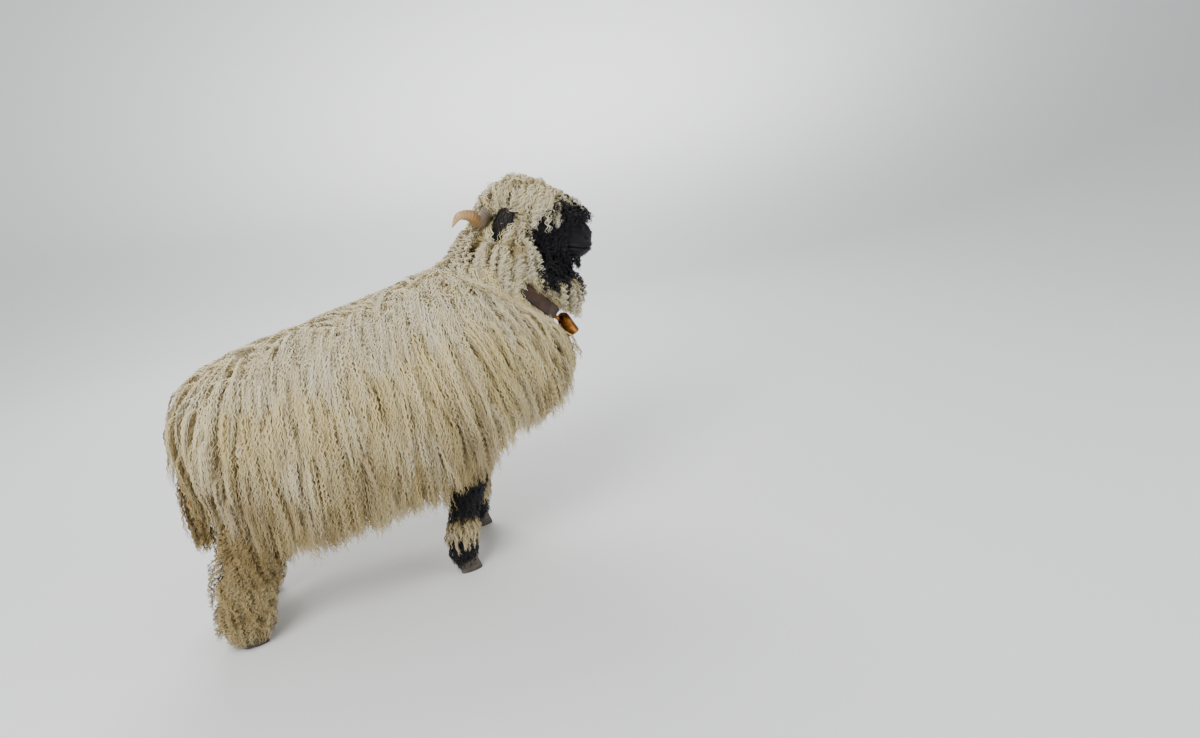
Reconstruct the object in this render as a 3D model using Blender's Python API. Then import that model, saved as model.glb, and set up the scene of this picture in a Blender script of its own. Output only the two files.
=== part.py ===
"""Valais blacknose sheep, standing, as closed solids for a life-size still model.

The sheep faces +X with its right side at -Y, and it stands on the floor at Z = 0. Each form is swept
through a few named stations that give the outline out to the tips of the coat. The core lies half the
coat's depth inside that outline, and flat hanging locks or rounded curls, rooted in the core, fill the
rest. All sizes are in metres.
"""

import math
import random

import bmesh
import bpy
from mathutils import Matrix, Vector

GAP = 0.0003
ROOM = 0.0004
SEED = 27
SIDES = ((-1, "right"), (1, "left"))

# Torso, from the rump to the chest: along, top, bottom and half width of the fleece.
TORSO_STATIONS = (
    (-0.440, 0.622, 0.500, 0.050),
    (-0.424, 0.682, 0.410, 0.140),
    (-0.380, 0.728, 0.315, 0.212),
    (-0.290, 0.764, 0.232, 0.268),
    (-0.160, 0.790, 0.180, 0.300),
    (0.010, 0.818, 0.190, 0.308),
    (0.180, 0.850, 0.222, 0.300),
    (0.320, 0.878, 0.270, 0.280),
    (0.445, 0.852, 0.318, 0.246),
    (0.545, 0.770, 0.372, 0.205),
    (0.615, 0.685, 0.425, 0.150),
    (0.650, 0.590, 0.490, 0.060),
)

# Neck: a leaning column that rises from the strap's seat to the back of the head.
COLLAR_CENTRE = Vector((0.515, 0.0, 0.780))
COLLAR_LEAN = math.radians(45.0)
# Distance from the strap, sideways drift, share of the head's turn, and of its lift.
NECK_STEPS = ((-0.075, 0.0, 0.0, 0.0), (0.020, 0.004, 0.1, 0.0), (0.105, 0.020, 0.6, 0.4),
              (0.185, 0.034, 1.0, 1.0))
# Half width, rise to the nape and fall to the throat.
NECK_SIZES = ((0.172, 0.195, 0.200), (0.172, 0.200, 0.214), (0.162, 0.200, 0.236), (0.112, 0.135, 0.130))
# How far the wool behind the strap lies inside the neck's outline.
COLLAR_SINK = 0.014
STRAP_WIDTH = 0.040
STRAP_THICKNESS = 0.004
STRAP_RISE = 0.170
STRAP_FALL = 0.172
STRAP_HALF_WIDTH = 0.138

# Head: its own frame has the lips' front at zero, +X to the nose and the mouth line level.
HEAD_PLACE = Vector((0.756, -0.077, 0.851))
HEAD_TURN = math.radians(-35.0)
HEAD_NOD = math.radians(12.0)
FACE_STATIONS = (
    (0.006, 0.046, -0.006, 0.016),
    (-0.004, 0.060, -0.022, 0.028),
    (-0.022, 0.076, -0.032, 0.036),
    (-0.050, 0.096, -0.037, 0.039),
    (-0.085, 0.120, -0.043, 0.046),
    (-0.120, 0.138, -0.054, 0.058),
    (-0.155, 0.150, -0.066, 0.070),
    (-0.195, 0.156, -0.072, 0.076),
    (-0.235, 0.150, -0.068, 0.074),
    (-0.270, 0.130, -0.050, 0.062),
)
# How far the wool stands above, below and beside each face station.
FACE_WOOL = (
    (0.006, 0.006, 0.006),
    (0.030, 0.008, 0.008),
    (0.040, 0.014, 0.009),
    (0.042, 0.042, 0.008),
    (0.038, 0.050, 0.010),
    (0.034, 0.040, 0.012),
    (0.028, 0.030, 0.014),
    (0.026, 0.022, 0.016),
    (0.024, 0.016, 0.016),
    (0.018, 0.010, 0.014),
)
# Which share of the wool below and beside each face station is left to curls.
FACE_DEPTH = (1.0, 1.0, 1.0, 1.0, 1.0, 0.9, 0.4, 0.0, 0.0, 0.0)
HEAD_SPARE = 0.006
HEAD_RINGS = 15
HEAD_SIDES = 18
LID_RADIUS = 0.0190
LID_OPENING = (0.0155, 0.0200, 0.0092)
MOUTH_DEPTH = 0.006
MOUTH_HEIGHT = 0.0026
MOUTH_BACK = -0.060
LIP_RADIUS = 0.0036
NOSTRIL_PLACE = Vector((-0.010, 0.021, 0.031))
NOSTRIL_RADII = (0.0090, 0.0050, 0.0042)
NOSTRIL_TILT = math.radians(-35.0)
EYE_PLACE = Vector((-0.126, 0.047, 0.082))
EYE_RADIUS = 0.0160
EAR_PATH = (
    (-0.194, 0.060, 0.088),
    (-0.212, 0.096, 0.106),
    (-0.227, 0.124, 0.104),
    (-0.234, 0.138, 0.076),
    (-0.237, 0.144, 0.040),
    (-0.238, 0.146, 0.008),
)
EAR_HALF_WIDTHS = (0.013, 0.018, 0.027, 0.031, 0.024, 0.003)
EAR_WALL = 0.0055
EAR_CLEAR = 0.060
HORN_PATH = (
    (-0.186, 0.042, 0.120),
    (-0.246, 0.062, 0.128),
    (-0.286, 0.098, 0.090),
    (-0.298, 0.140, 0.068),
    (-0.313, 0.178, 0.090),
    (-0.338, 0.202, 0.090),
    (-0.356, 0.204, 0.058),
)
HORN_RADII = (0.0205, 0.0210, 0.0205, 0.0190, 0.0165, 0.0115, 0.0020)

# Legs, from inside the body to the foot: height, along, half length and half width of the coat.
HIND_STATIONS = (
    (0.430, -0.270, 0.090, 0.070),
    (0.350, -0.305, 0.102, 0.078),
    (0.270, -0.342, 0.106, 0.080),
    (0.190, -0.376, 0.094, 0.076),
    (0.110, -0.396, 0.092, 0.074),
    (0.044, -0.402, 0.098, 0.074),
)
# How deep the core lies inside each station, and how much room each station leaves the wool outside.
HIND_DEPTHS = (0.0, 0.0, 0.012, 0.026, 0.028, 0.026)
HIND_SPARE = (0.0, 0.0, 0.003, 0.016, 0.020, 0.020)
HIND_STRIDE = (-0.015, 0.045)
FRONT_STATIONS = (
    (0.440, 0.320, 0.066, 0.056),
    (0.320, 0.312, 0.060, 0.052),
    (0.235, 0.298, 0.052, 0.047),
    (0.165, 0.286, 0.054, 0.048),
    (0.105, 0.275, 0.054, 0.048),
    (0.044, 0.266, 0.045, 0.041),
)
FRONT_DEPTHS = (0.0, 0.0, 0.002, 0.012, 0.011, 0.003)
FRONT_SPARE = (0.0, 0.0, 0.003, 0.012, 0.014, 0.012)
FRONT_STRIDE = (-0.068, 0.056)
LEG_SPREAD = 0.130
# Below this height a leg has taken its whole stride.
SHANK = 0.200
LEG_RINGS = 10
LEG_SIDES = 16

CLAW_HEIGHT = 0.043
CLAW_LENGTH = 0.066
CLAW_WIDTH = 0.029
CLAW_SPACING = 0.0325
CLAW_LEAD = 0.012

# Tail: height, along, half length and half width of the coat.
TAIL_STATIONS = (
    (0.600, -0.362, 0.028, 0.030),
    (0.560, -0.402, 0.036, 0.042),
    (0.500, -0.438, 0.042, 0.055),
    (0.410, -0.460, 0.044, 0.058),
    (0.325, -0.464, 0.038, 0.050),
    (0.256, -0.456, 0.018, 0.026),
)
TAIL_DEPTHS = (0.0, 0.0, 0.010, 0.014, 0.013, 0.006)
TAIL_SPARE = (0.0, 0.0, 0.004, 0.012, 0.014, 0.014)

# Coats: how many rows and columns of pieces, then length, width, thickness and rise above the core.
TORSO_LOCKS = (5, 10, 0.210, 0.122, 0.018, 0.046)
TAIL_LOCKS = (2, 4, 0.130, 0.066, 0.016, 0.014)
CUFF_LOCKS = (1, 7, 0.058, 0.044, 0.014, 0.013)
NECK_CURLS = (4, 6, 0.100, 0.084, 0.046, 0.038)
CROWN_CURLS = (2, 6, 0.070, 0.056, 0.036, 0.034)
JAW_CURLS = (1, 3, 0.070, 0.046, 0.030, 0.030)
HIND_CURLS = (3, 5, 0.085, 0.076, 0.040, 0.026)
LOCK_RISE = (-0.30, 0.42, 0.78, 1.0)
CURL_RISE = (-0.50, 0.50, 0.95, 0.72)
LOCK_SWELL = (0.72, 1.0, 0.70)
CURL_SWELL = (0.74, 1.0, 0.74)
LOCK_STEPS = (0.0, 0.30, 0.70, 1.0)
# The most triangles that each union keeps before its sockets are cut.
MOST = {"torso": 3620, "neck": 1050, "head_wool": 1200, "head": 1850, "hind_leg": 720, "front_leg": 320,
        "tail": 380}

# Bell: height up from its rim, and radius, of the outside.
BELL_PROFILE = ((0.000, 0.036), (0.012, 0.0335), (0.036, 0.0295), (0.056, 0.0245), (0.064, 0.014))
BELL_WALL = 0.0025
BELL_FLATTEN = 0.72
BELL_CROWN = Vector((0.668, 0.0, 0.650))
BELL_SWING = math.radians(20.0)
LUG_SIZE = (0.012, 0.018, 0.028)
CLAPPER_RADIUS = 0.0075
CLAPPER_HEIGHT = 0.010
CLAPPER_STEM = 0.0018

COLOURS = {
    "fleece": ((0.62, 0.53, 0.38), 0.9),
    "black_wool": ((0.012, 0.010, 0.012), 0.85),
    "horn": ((0.55, 0.33, 0.16), 0.45),
    "eye": ((0.02, 0.014, 0.01), 0.1),
    "claw": ((0.015, 0.013, 0.012), 0.5),
    "leather": ((0.09, 0.04, 0.02), 0.6),
    "bell_metal": ((0.42, 0.22, 0.08), 0.4),
}


def material(name):
    """Return the named finish, made on its first use."""
    found = bpy.data.materials.get(name)
    if found:
        return found
    colour, roughness = COLOURS[name]
    made = bpy.data.materials.new(name)
    made.use_nodes = True
    shader = made.node_tree.nodes["Principled BSDF"]
    shader.inputs["Base Color"].default_value = (*colour, 1.0)
    shader.inputs["Roughness"].default_value = roughness
    shader.inputs["Metallic"].default_value = 1.0 if name == "bell_metal" else 0.0
    return made


def add_object(name, bm, finish):
    """Turn a closed bmesh into a smooth-shaded object with its faces pointing out."""
    bmesh.ops.recalc_face_normals(bm, faces=bm.faces)
    bmesh.ops.triangulate(bm, faces=bm.faces)
    mesh = bpy.data.meshes.new(name)
    bm.to_mesh(mesh)
    bm.free()
    mesh.shade_smooth()
    mesh.materials.append(material(finish))
    made = bpy.data.objects.new(name, mesh)
    bpy.context.scene.collection.objects.link(made)
    return made


def ease(before, start, end, after, share):
    """Return the value at a share of the way from start to end on a smooth curve."""
    slope_in = (end - before) / 2
    slope_out = (after - start) / 2
    square = share * share
    cube = square * share
    return ((2 * cube - 3 * square + 1) * start + (cube - 2 * square + share) * slope_in
            + (3 * square - 2 * cube) * end + (cube - square) * slope_out)


def along(values, t):
    """Read a list of vectors or numbers smoothly, with t running from 0 to 1 over the list."""
    last = len(values) - 1
    spot = min(max(t, 0.0), 1.0) * last
    index = min(int(spot), last - 1)
    before = values[max(index - 1, 0)]
    after = values[min(index + 2, last)]
    return ease(before, values[index], values[index + 1], after, spot - index)


def bend(value, power):
    """Raise a sine or cosine to a power and keep its sign."""
    return math.copysign(abs(value) ** power, value)


class Form:
    """A rounded body swept through ovals, each with a centre, two directions and three sizes."""

    def __init__(self, centres, sides, ups, half_widths, rises, falls, squareness=0.9):
        self.centres = [Vector(centre) for centre in centres]
        self.sides = [Vector(side).normalized() for side in sides]
        self.ups = [Vector(up).normalized() for up in ups]
        self.half_widths = list(half_widths)
        self.rises = list(rises)
        self.falls = list(falls)
        self.squareness = squareness

    def point(self, t, angle):
        """Return the surface point at t along the form and an angle round from its top."""
        side = along(self.sides, t) * along(self.half_widths, t)
        upward = math.cos(angle) >= 0
        reach = along(self.rises if upward else self.falls, t)
        up = along(self.ups, t) * reach
        across = bend(math.sin(angle), self.squareness)
        return along(self.centres, t) + side * across + up * bend(math.cos(angle), self.squareness)

    def slopes(self, t, angle):
        """Return how the surface point moves with t and with the angle."""
        step = 0.004
        low, high = max(t - step, 0.0), min(t + step, 1.0)
        by_t = (self.point(high, angle) - self.point(low, angle)) / (high - low)
        by_angle = (self.point(t, angle + step) - self.point(t, angle - step)) / (2 * step)
        return by_t, by_angle

    def normal(self, t, angle):
        """Return the direction out of the surface."""
        by_t, by_angle = self.slopes(t, angle)
        out = by_t.cross(by_angle)
        if out.length < 1e-9:
            return (self.point(t, angle) - along(self.centres, t)).normalized()
        out.normalize()
        if out.dot(self.point(t, angle) - along(self.centres, t)) < 0:
            out.negate()
        return out

    def walk(self, t, angle, direction, distance):
        """Return t and angle after a step over the surface in a direction."""
        by_t, by_angle = self.slopes(t, angle)
        step = direction * distance
        a, b, c = by_t.dot(by_t), by_t.dot(by_angle), by_angle.dot(by_angle)
        d, e = by_t.dot(step), by_angle.dot(step)
        spread = a * c - b * b
        if abs(spread) < 1e-12:
            return t, angle
        moved = t + (c * d - b * e) / spread
        return min(max(moved, 0.0), 1.0), angle + (a * e - b * d) / spread

    def grown(self, depth):
        """Return this form moved out by a depth, or in by a negative one, at its ends too."""
        last = len(self.centres) - 1
        size = [(w + r + f) / 3 for w, r, f in zip(self.half_widths, self.rises, self.falls)]
        centres, shares = [], []
        for index in range(last + 1):
            low, high = max(index - 1, 0), min(index + 1, last)
            run = self.centres[high] - self.centres[low]
            slope = Vector((run.length, size[high] - size[low]))
            slope.normalize()
            shift = {0: -1.0, last: 1.0}.get(index, -slope.y)
            centres.append(self.centres[index] + run.normalized() * depth * shift)
            shares.append(depth * slope.x)
        least = 0.008

        def sized(values):
            return [max(value + share, least) for value, share in zip(values, shares)]

        return Form(centres, self.sides, self.ups, sized(self.half_widths), sized(self.rises),
                    sized(self.falls), self.squareness)

    def placed(self, matrix):
        """Return this form carried by a rigid move."""
        turn = matrix.to_3x3()
        return Form([matrix @ centre for centre in self.centres], [turn @ side for side in self.sides],
                    [turn @ up for up in self.ups], self.half_widths, self.rises, self.falls,
                    self.squareness)

    def mesh(self, rings, around, start=0.0, end=1.0):
        """Return a closed bmesh with a number of rings and of points around each."""
        bm = bmesh.new()
        loops = []
        for index in range(rings):
            t = start + (end - start) * index / (rings - 1)
            points = [self.point(t, 2 * math.pi * turn / around) for turn in range(around)]
            loops.append([bm.verts.new(point) for point in points])
        skin(bm, loops)
        return bm


def skin(bm, loops):
    """Cover rings of points, closing a ring at each end or running to a single point."""
    for first, second in zip(loops, loops[1:]):
        if len(second) == 1:
            for index in range(len(first)):
                bm.faces.new((first[index - 1], first[index], second[0]))
            continue
        for index in range(len(first)):
            bm.faces.new((first[index - 1], first[index], second[index], second[index - 1]))
    for loop in (loops[0], loops[-1]):
        if len(loop) > 2:
            bm.faces.new(loop)


def upright_form(stations, squareness=0.9):
    """Sweep upright ovals from (along, top, bottom, half width) stations."""
    centres = [(x, 0, (top + bottom) / 2) for x, top, bottom, _ in stations]
    halves = [(top - bottom) / 2 for _, top, bottom, _ in stations]
    count = len(stations)
    return Form(centres, [(0, 1, 0)] * count, [(0, 0, 1)] * count, [s[3] for s in stations], halves,
                halves, squareness)


def level_form(stations, across, stride=0.0, squareness=0.95):
    """Sweep level ovals from (height, along, half length, half width) stations, stepped by a stride."""
    top = stations[0][0]
    centres = [(x + stride * min((top - z) / (top - SHANK), 1.0), across, z) for z, x, _, _ in stations]
    count = len(stations)
    lengths = [s[2] for s in stations]
    return Form(centres, [(0, 1, 0)] * count, [(1, 0, 0)] * count, [s[3] for s in stations], lengths,
                lengths, squareness)


def neck_axis():
    """Return the direction of the neck at the strap, and the strap's own upward direction."""
    axis = Vector((math.cos(COLLAR_LEAN), 0, math.sin(COLLAR_LEAN)))
    up = Vector((-math.sin(COLLAR_LEAN), 0, math.cos(COLLAR_LEAN)))
    return axis, up


def neck_form():
    """Sweep the neck's coat from inside the torso, through the strap, round the back of the head."""
    axis, up = neck_axis()
    head_side = head_matrix().to_3x3() @ Vector((0, 1, 0))
    half_side = (Vector((0, 1, 0)) + head_side * 0.6).normalized()
    lift = Vector((0, 0, 0.25))
    centres, sides, ups = [], [], []
    for distance, drift, side, raised in NECK_STEPS:
        centres.append(COLLAR_CENTRE + axis * distance + Vector((0, drift, 0)))
        sides.append(Vector((0, 1, 0)).lerp(half_side, side))
        ups.append(up + lift * raised)
    widths, rises, falls = zip(*NECK_SIZES)
    return Form(centres, sides, ups, widths, rises, falls, 1.0)


def head_matrix():
    """Return the move from the head's own frame to the sheep's."""
    return (Matrix.Translation(HEAD_PLACE) @ Matrix.Rotation(HEAD_TURN, 4, "Z")
            @ Matrix.Rotation(HEAD_NOD, 4, "Y"))


def tuft(name, path, across, widths, thicknesses, sides, finish):
    """Make one closed lock or curl: rings along a path, narrowing to a point at its last place."""
    bm = bmesh.new()
    loops = []
    for index, place in enumerate(path[:-1]):
        forward = (path[index + 1] - path[max(index - 1, 0)]).normalized()
        wide = (across - forward * across.dot(forward)).normalized()
        thick = forward.cross(wide)
        loop = []
        for turn in range(sides):
            angle = 2 * math.pi * turn / sides
            offset = wide * math.cos(angle) * widths[index] + thick * math.sin(angle) * thicknesses[index]
            loop.append(bm.verts.new(place + offset / 2))
        loops.append(loop)
    loops.append([bm.verts.new(path[-1])])
    skin(bm, loops)
    return add_object(name, bm, finish)


def apply_modifiers(body):
    """Replace an object's mesh by what its modifiers make of it."""
    graph = bpy.context.evaluated_depsgraph_get()
    graph.update()
    result = bpy.data.meshes.new_from_object(body.evaluated_get(graph))
    body.modifiers.clear()
    old = body.data
    body.data = result
    bpy.data.meshes.remove(old)


def remove(item):
    """Remove an object and its mesh."""
    mesh = item.data
    bpy.data.objects.remove(item)
    bpy.data.meshes.remove(mesh)


def keep_largest(body):
    """Keep only the largest closed surface of an object."""
    bm = bmesh.new()
    bm.from_mesh(body.data)
    left = set(bm.verts)
    groups = []
    while left:
        group = {left.pop()}
        edge = list(group)
        while edge:
            found = {link.other_vert(v) for v in edge for link in v.link_edges} - group
            group |= found
            edge = list(found)
        left -= group
        groups.append(group)
    largest = max(groups, key=lambda group: sum(face.calc_area() for v in group for face in v.link_faces))
    loose = [v for group in groups if group is not largest for v in group]
    bmesh.ops.delete(bm, geom=loose, context="VERTS")
    bmesh.ops.triangulate(bm, faces=bm.faces)
    bm.to_mesh(body.data)
    bm.free()
    body.data.shade_smooth()


def fuse(body, pieces):
    """Join closed pieces to a body by one union and remove them; EXACT is slow on this many."""
    gathered = bpy.data.collections.new("pieces")
    bpy.context.scene.collection.children.link(gathered)
    for piece in pieces:
        gathered.objects.link(piece)
    join = body.modifiers.new("join", "BOOLEAN")
    join.operation = "UNION"
    join.operand_type = "COLLECTION"
    join.collection = gathered
    join.solver = "MANIFOLD"
    apply_modifiers(body)
    for piece in pieces:
        remove(piece)
    bpy.data.collections.remove(gathered)
    keep_largest(body)


def thin_out(body, most):
    """Collapse the slivers that a union leaves, down to a number of triangles."""
    count = len(body.data.polygons)
    if count <= most:
        return
    sparse = body.modifiers.new("sparse", "DECIMATE")
    sparse.decimate_type = "COLLAPSE"
    sparse.use_collapse_triangulate = True
    sparse.ratio = most / count
    apply_modifiers(body)
    keep_largest(body)


def cut(body, cutters):
    """Take closed cutters out of a body one after another, and remove them."""
    for cutter in cutters:
        saw = body.modifiers.new("cut", "BOOLEAN")
        saw.operation = "DIFFERENCE"
        saw.object = cutter
        saw.solver = "MANIFOLD"
        apply_modifiers(body)
        remove(cutter)
    keep_largest(body)


def keep_inside(body, guard):
    """Keep only the part of a body that lies inside a closed guard, and remove the guard."""
    limit = body.modifiers.new("limit", "BOOLEAN")
    limit.operation = "INTERSECT"
    limit.object = guard
    limit.solver = "MANIFOLD"
    apply_modifiers(body)
    remove(guard)
    keep_largest(body)


def hanging_path(form, t, angle, length, rise, rises, pull):
    """Return a path that leaves the core, follows the pull over it, and hangs free below it."""
    path, across = [], None
    free = False
    for index, share in enumerate(LOCK_STEPS):
        distance = length * (share - LOCK_STEPS[index - 1]) if index else 0.0
        if free:
            path.append(path[-1] + Vector((pull.x * 0.2, pull.y * 0.2, -1)).normalized() * distance)
            continue
        normal = form.normal(t, angle)
        flat = pull - normal * pull.dot(normal)
        if flat.length < 1e-3:
            flat = Vector((0, 0, -1)) - normal * -normal.z
        flat.normalize()
        if index:
            t, angle = form.walk(t, angle, flat, distance)
            normal = form.normal(t, angle)
        if across is None:
            across = flat.cross(normal).normalized()
        path.append(form.point(t, angle) + normal * rise * rises[index])
        free = normal.z < -0.25
    return path, across


def piece(form, t, angle, layout, curly, pull, finish):
    """Make one lock or curl rooted in a core at a place on it, with its own small differences."""
    _, _, length, width, thickness, rise = layout
    rises, swell, sides = (CURL_RISE, CURL_SWELL, 5) if curly else (LOCK_RISE, LOCK_SWELL, 4)
    size = random.uniform(0.86, 1.14)
    turn = random.uniform(-0.5, 0.5) if curly else random.uniform(-0.13, 0.13)
    pull = (pull + Vector((turn, 0, 0))).normalized()
    path, across = hanging_path(form, t, angle, length * size, rise, rises, pull)
    widths = [width * share * random.uniform(0.9, 1.1) for share in swell]
    thicknesses = [thickness * share for share in swell]
    return tuft("piece", path, across, widths, thicknesses, sides, finish)


def coat(form, layout, curly, first, last, start, end, pull, finish):
    """Cover both sides of a core with rows of pieces between two places and two angles."""
    rows, columns = layout[:2]
    pieces = []
    for row in range(rows):
        for column in range(columns):
            for side in (-1, 1):
                share = (column + 0.25 + 0.5 * (row % 2) + random.uniform(-0.15, 0.15)) / columns
                down = (row + random.uniform(-0.12, 0.12)) / max(rows - 1, 1)
                t = first + (last - first) * min(max(share, 0.0), 1.0)
                angle = start + (end - start) * min(max(down, 0.0), 1.0)
                pieces.append(piece(form, t, angle * side, layout, curly, pull, finish))
    return pieces


def ring_coat(form, layout, curly, first, last, finish):
    """Cover an upright core, such as a leg, with rings of hanging pieces."""
    rows, columns = layout[:2]
    pieces = []
    for row in range(rows):
        t = first + (last - first) * row / max(rows - 1, 1)
        for column in range(columns):
            angle = 2 * math.pi * (column + 0.5 * (row % 2) + random.uniform(-0.15, 0.15)) / columns
            pieces.append(piece(form, t, angle, layout, curly, Vector((0, 0, -1)), finish))
    return pieces


def half_space(point, normal):
    """Make a large block that fills the side of a plane that its normal points to."""
    size = 1.5
    bm = bmesh.new()
    bmesh.ops.create_cube(bm, size=size)
    turn = normal.to_track_quat("Z", "Y").to_matrix().to_4x4()
    place = Matrix.Translation(point + normal.normalized() * size / 2) @ turn
    bmesh.ops.transform(bm, matrix=place, verts=bm.verts)
    return add_object("block", bm, "fleece")


def ball(name, centre, radii, finish, segments=14, rings=8):
    """Make a closed ball or egg."""
    bm = bmesh.new()
    bmesh.ops.create_uvsphere(bm, u_segments=segments, v_segments=rings, radius=1.0)
    bmesh.ops.scale(bm, vec=radii, verts=bm.verts)
    bmesh.ops.translate(bm, vec=centre, verts=bm.verts)
    return add_object(name, bm, finish)


def mirrored(point, side):
    """Return a head point for the left side (1) or the right side (-1)."""
    return Vector((point[0], point[1] * side, point[2]))


def build_torso():
    """Make the trunk with the seat of the strap and its locks, and open the sockets of legs and tail."""
    axis, _ = neck_axis()
    core = upright_form(TORSO_STATIONS).grown(-TORSO_LOCKS[5])
    torso = add_object("torso", core.mesh(13, 18), "fleece")
    pieces = coat(core, TORSO_LOCKS, False, 0.03, 0.97, math.radians(9), math.radians(117),
                  Vector((0.10, 0, -1)), "fleece")
    neck_root = neck_form().grown(-COLLAR_SINK)
    pieces.append(add_object("neck_root", neck_root.mesh(6, 20, 0.0, 0.6), "fleece"))
    fuse(torso, pieces)
    thin_out(torso, MOST["torso"])
    seat = COLLAR_CENTRE - axis * (STRAP_WIDTH / 2 + GAP)
    cutters = [half_space(seat, axis)]
    for leg in leg_forms().values():
        cutters.append(add_object("socket", leg[1].grown(ROOM).mesh(LEG_RINGS, LEG_SIDES), "fleece"))
    cutters.append(add_object("socket", tail_forms()[1].grown(ROOM).mesh(LEG_RINGS, LEG_SIDES), "fleece"))
    cutters.append(bell_body("room", ROOM))
    cut(torso, cutters)


def neck_core():
    """Return the neck's core, which is as wide as the strap's inside where the strap sits."""
    return neck_form().grown(-NECK_CURLS[5])


def build_neck():
    """Make the neck with its ruff of curls, between the strap's seat and the back of the head."""
    axis, _ = neck_axis()
    core = neck_core()
    neck = add_object("neck", core.mesh(9, 20), "fleece")
    pieces = coat(core, NECK_CURLS, True, 0.40, 0.95, math.radians(8), math.radians(172),
                  Vector((0.1, 0, -1)), "fleece")
    pieces.append(strap_ring("plate", None, STRAP_HALF_WIDTH - GAP, STRAP_WIDTH))
    fuse(neck, pieces)
    thin_out(neck, MOST["neck"])
    seat = COLLAR_CENTRE - axis * STRAP_WIDTH / 2
    strap_room = strap_ring("strap_room", STRAP_HALF_WIDTH - GAP, 0.30, STRAP_WIDTH + 2 * GAP)
    cutters = [half_space(seat, -axis), strap_room, bell_body("room", ROOM)]
    cutters.append(add_object("socket", head_forms()[1].grown(ROOM * 1.5).mesh(HEAD_RINGS, HEAD_SIDES), "fleece"))
    for side in (-1, 1):
        cutters.append(ear("socket", side, ROOM, EAR_CLEAR))
        cutters.append(ear("socket", side, ROOM))
        cutters.append(horn("socket", side, ROOM))
    cut(neck, cutters)


def strap_point(angle, reach, shift):
    """Return a point of the strap's oval at an angle, a half width and a shift along the neck."""
    axis, up = neck_axis()
    rise = (STRAP_RISE if math.cos(angle) > 0 else STRAP_FALL) + reach - STRAP_HALF_WIDTH
    return (COLLAR_CENTRE + Vector((0, 1, 0)) * math.sin(angle) * reach + up * math.cos(angle) * rise
            + axis * shift)


def strap_ring(name, inner, outer, width):
    """Make an oval ring round the neck, from an inner half width to an outer one, or a full plate."""
    segments = 40
    bm = bmesh.new()
    if inner is None:
        loops = []
        for shift in (-width / 2, width / 2):
            loops.append([bm.verts.new(strap_point(2 * math.pi * turn / segments, outer, shift))
                          for turn in range(segments)])
        skin(bm, loops)
        return add_object(name, bm, "fleece")
    corners = []
    for reach in (inner, outer):
        for shift in (-width / 2, width / 2):
            corners.append((reach, shift))
    order = (corners[0], corners[1], corners[3], corners[2])
    loops = []
    for turn in range(segments):
        angle = 2 * math.pi * turn / segments
        loops.append([bm.verts.new(strap_point(angle, reach, shift)) for reach, shift in order])
    for index in range(segments):
        first, second = loops[index - 1], loops[index]
        for corner in range(4):
            bm.faces.new((first[corner - 1], first[corner], second[corner], second[corner - 1]))
    return add_object(name, bm, "leather")


def head_forms():
    """Return the head's core, and the seat that it needs in the neck, in the sheep's frame."""
    place = head_matrix()
    core, outline = [], []
    for (x, top, bottom, half), wool, depth in zip(FACE_STATIONS, FACE_WOOL, FACE_DEPTH):
        above, below, beside = wool
        left = 1.0 - depth
        spare = HEAD_SPARE * depth
        outline.append((x, top + above + spare, bottom - below - spare, half + beside + spare))
        core.append((x, top, bottom - below * left, half + beside * left))
    return upright_form(core, 0.85).placed(place), upright_form(outline, 0.85).placed(place)


def build_head():
    """Make the head with its wool, lids, lips, mouth and nostrils, and sockets for what it carries."""
    place = head_matrix()
    turn = place.to_3x3()
    core, guard = head_forms()
    head = add_object("head", core.mesh(HEAD_RINGS, HEAD_SIDES), "black_wool")
    forward = turn @ Vector((0.8, 0, -0.5))
    pieces = coat(core, CROWN_CURLS, True, 0.16, 0.96, math.radians(14), math.radians(66), forward,
                  "black_wool")
    pieces += coat(core, JAW_CURLS, True, 0.30, 0.70, math.radians(128), math.radians(165),
                   Vector((0, 0, -1)), "black_wool")
    fuse(head, pieces)
    keep_inside(head, add_object("guard", guard.grown(ROOM / 4).mesh(HEAD_RINGS, HEAD_SIDES), "black_wool"))
    thin_out(head, MOST["head_wool"])
    fuse(head, lids() + lips(core))
    openings, sockets = [mouth_slit(core)], []
    for side in (-1, 1):
        openings.append(head_ball(mirrored(EYE_PLACE + Vector((0, 0.017, 0)), side), LID_OPENING, 0.0))
        openings.append(head_ball(mirrored(NOSTRIL_PLACE, side), NOSTRIL_RADII, NOSTRIL_TILT))
        sockets.append(ball("socket", place @ mirrored(EYE_PLACE, side), [EYE_RADIUS + ROOM] * 3, "eye"))
        sockets.append(ear("socket", side, ROOM))
        sockets.append(horn("socket", side, ROOM))
    cut(head, openings)
    thin_out(head, MOST["head"])
    cut(head, sockets)


def head_ball(centre, radii, tilt):
    """Make an egg in the head's own frame, tilted about the sideways axis."""
    made = ball("egg", (0, 0, 0), radii, "black_wool", 10, 6)
    made.data.transform(head_matrix() @ Matrix.Translation(centre) @ Matrix.Rotation(tilt, 4, "Y"))
    return made


def lids():
    """Make the ball of each eye's lids."""
    place = head_matrix()
    return [ball("lid", place @ mirrored(EYE_PLACE, side), [LID_RADIUS] * 3, "black_wool") for side in (-1, 1)]


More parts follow.
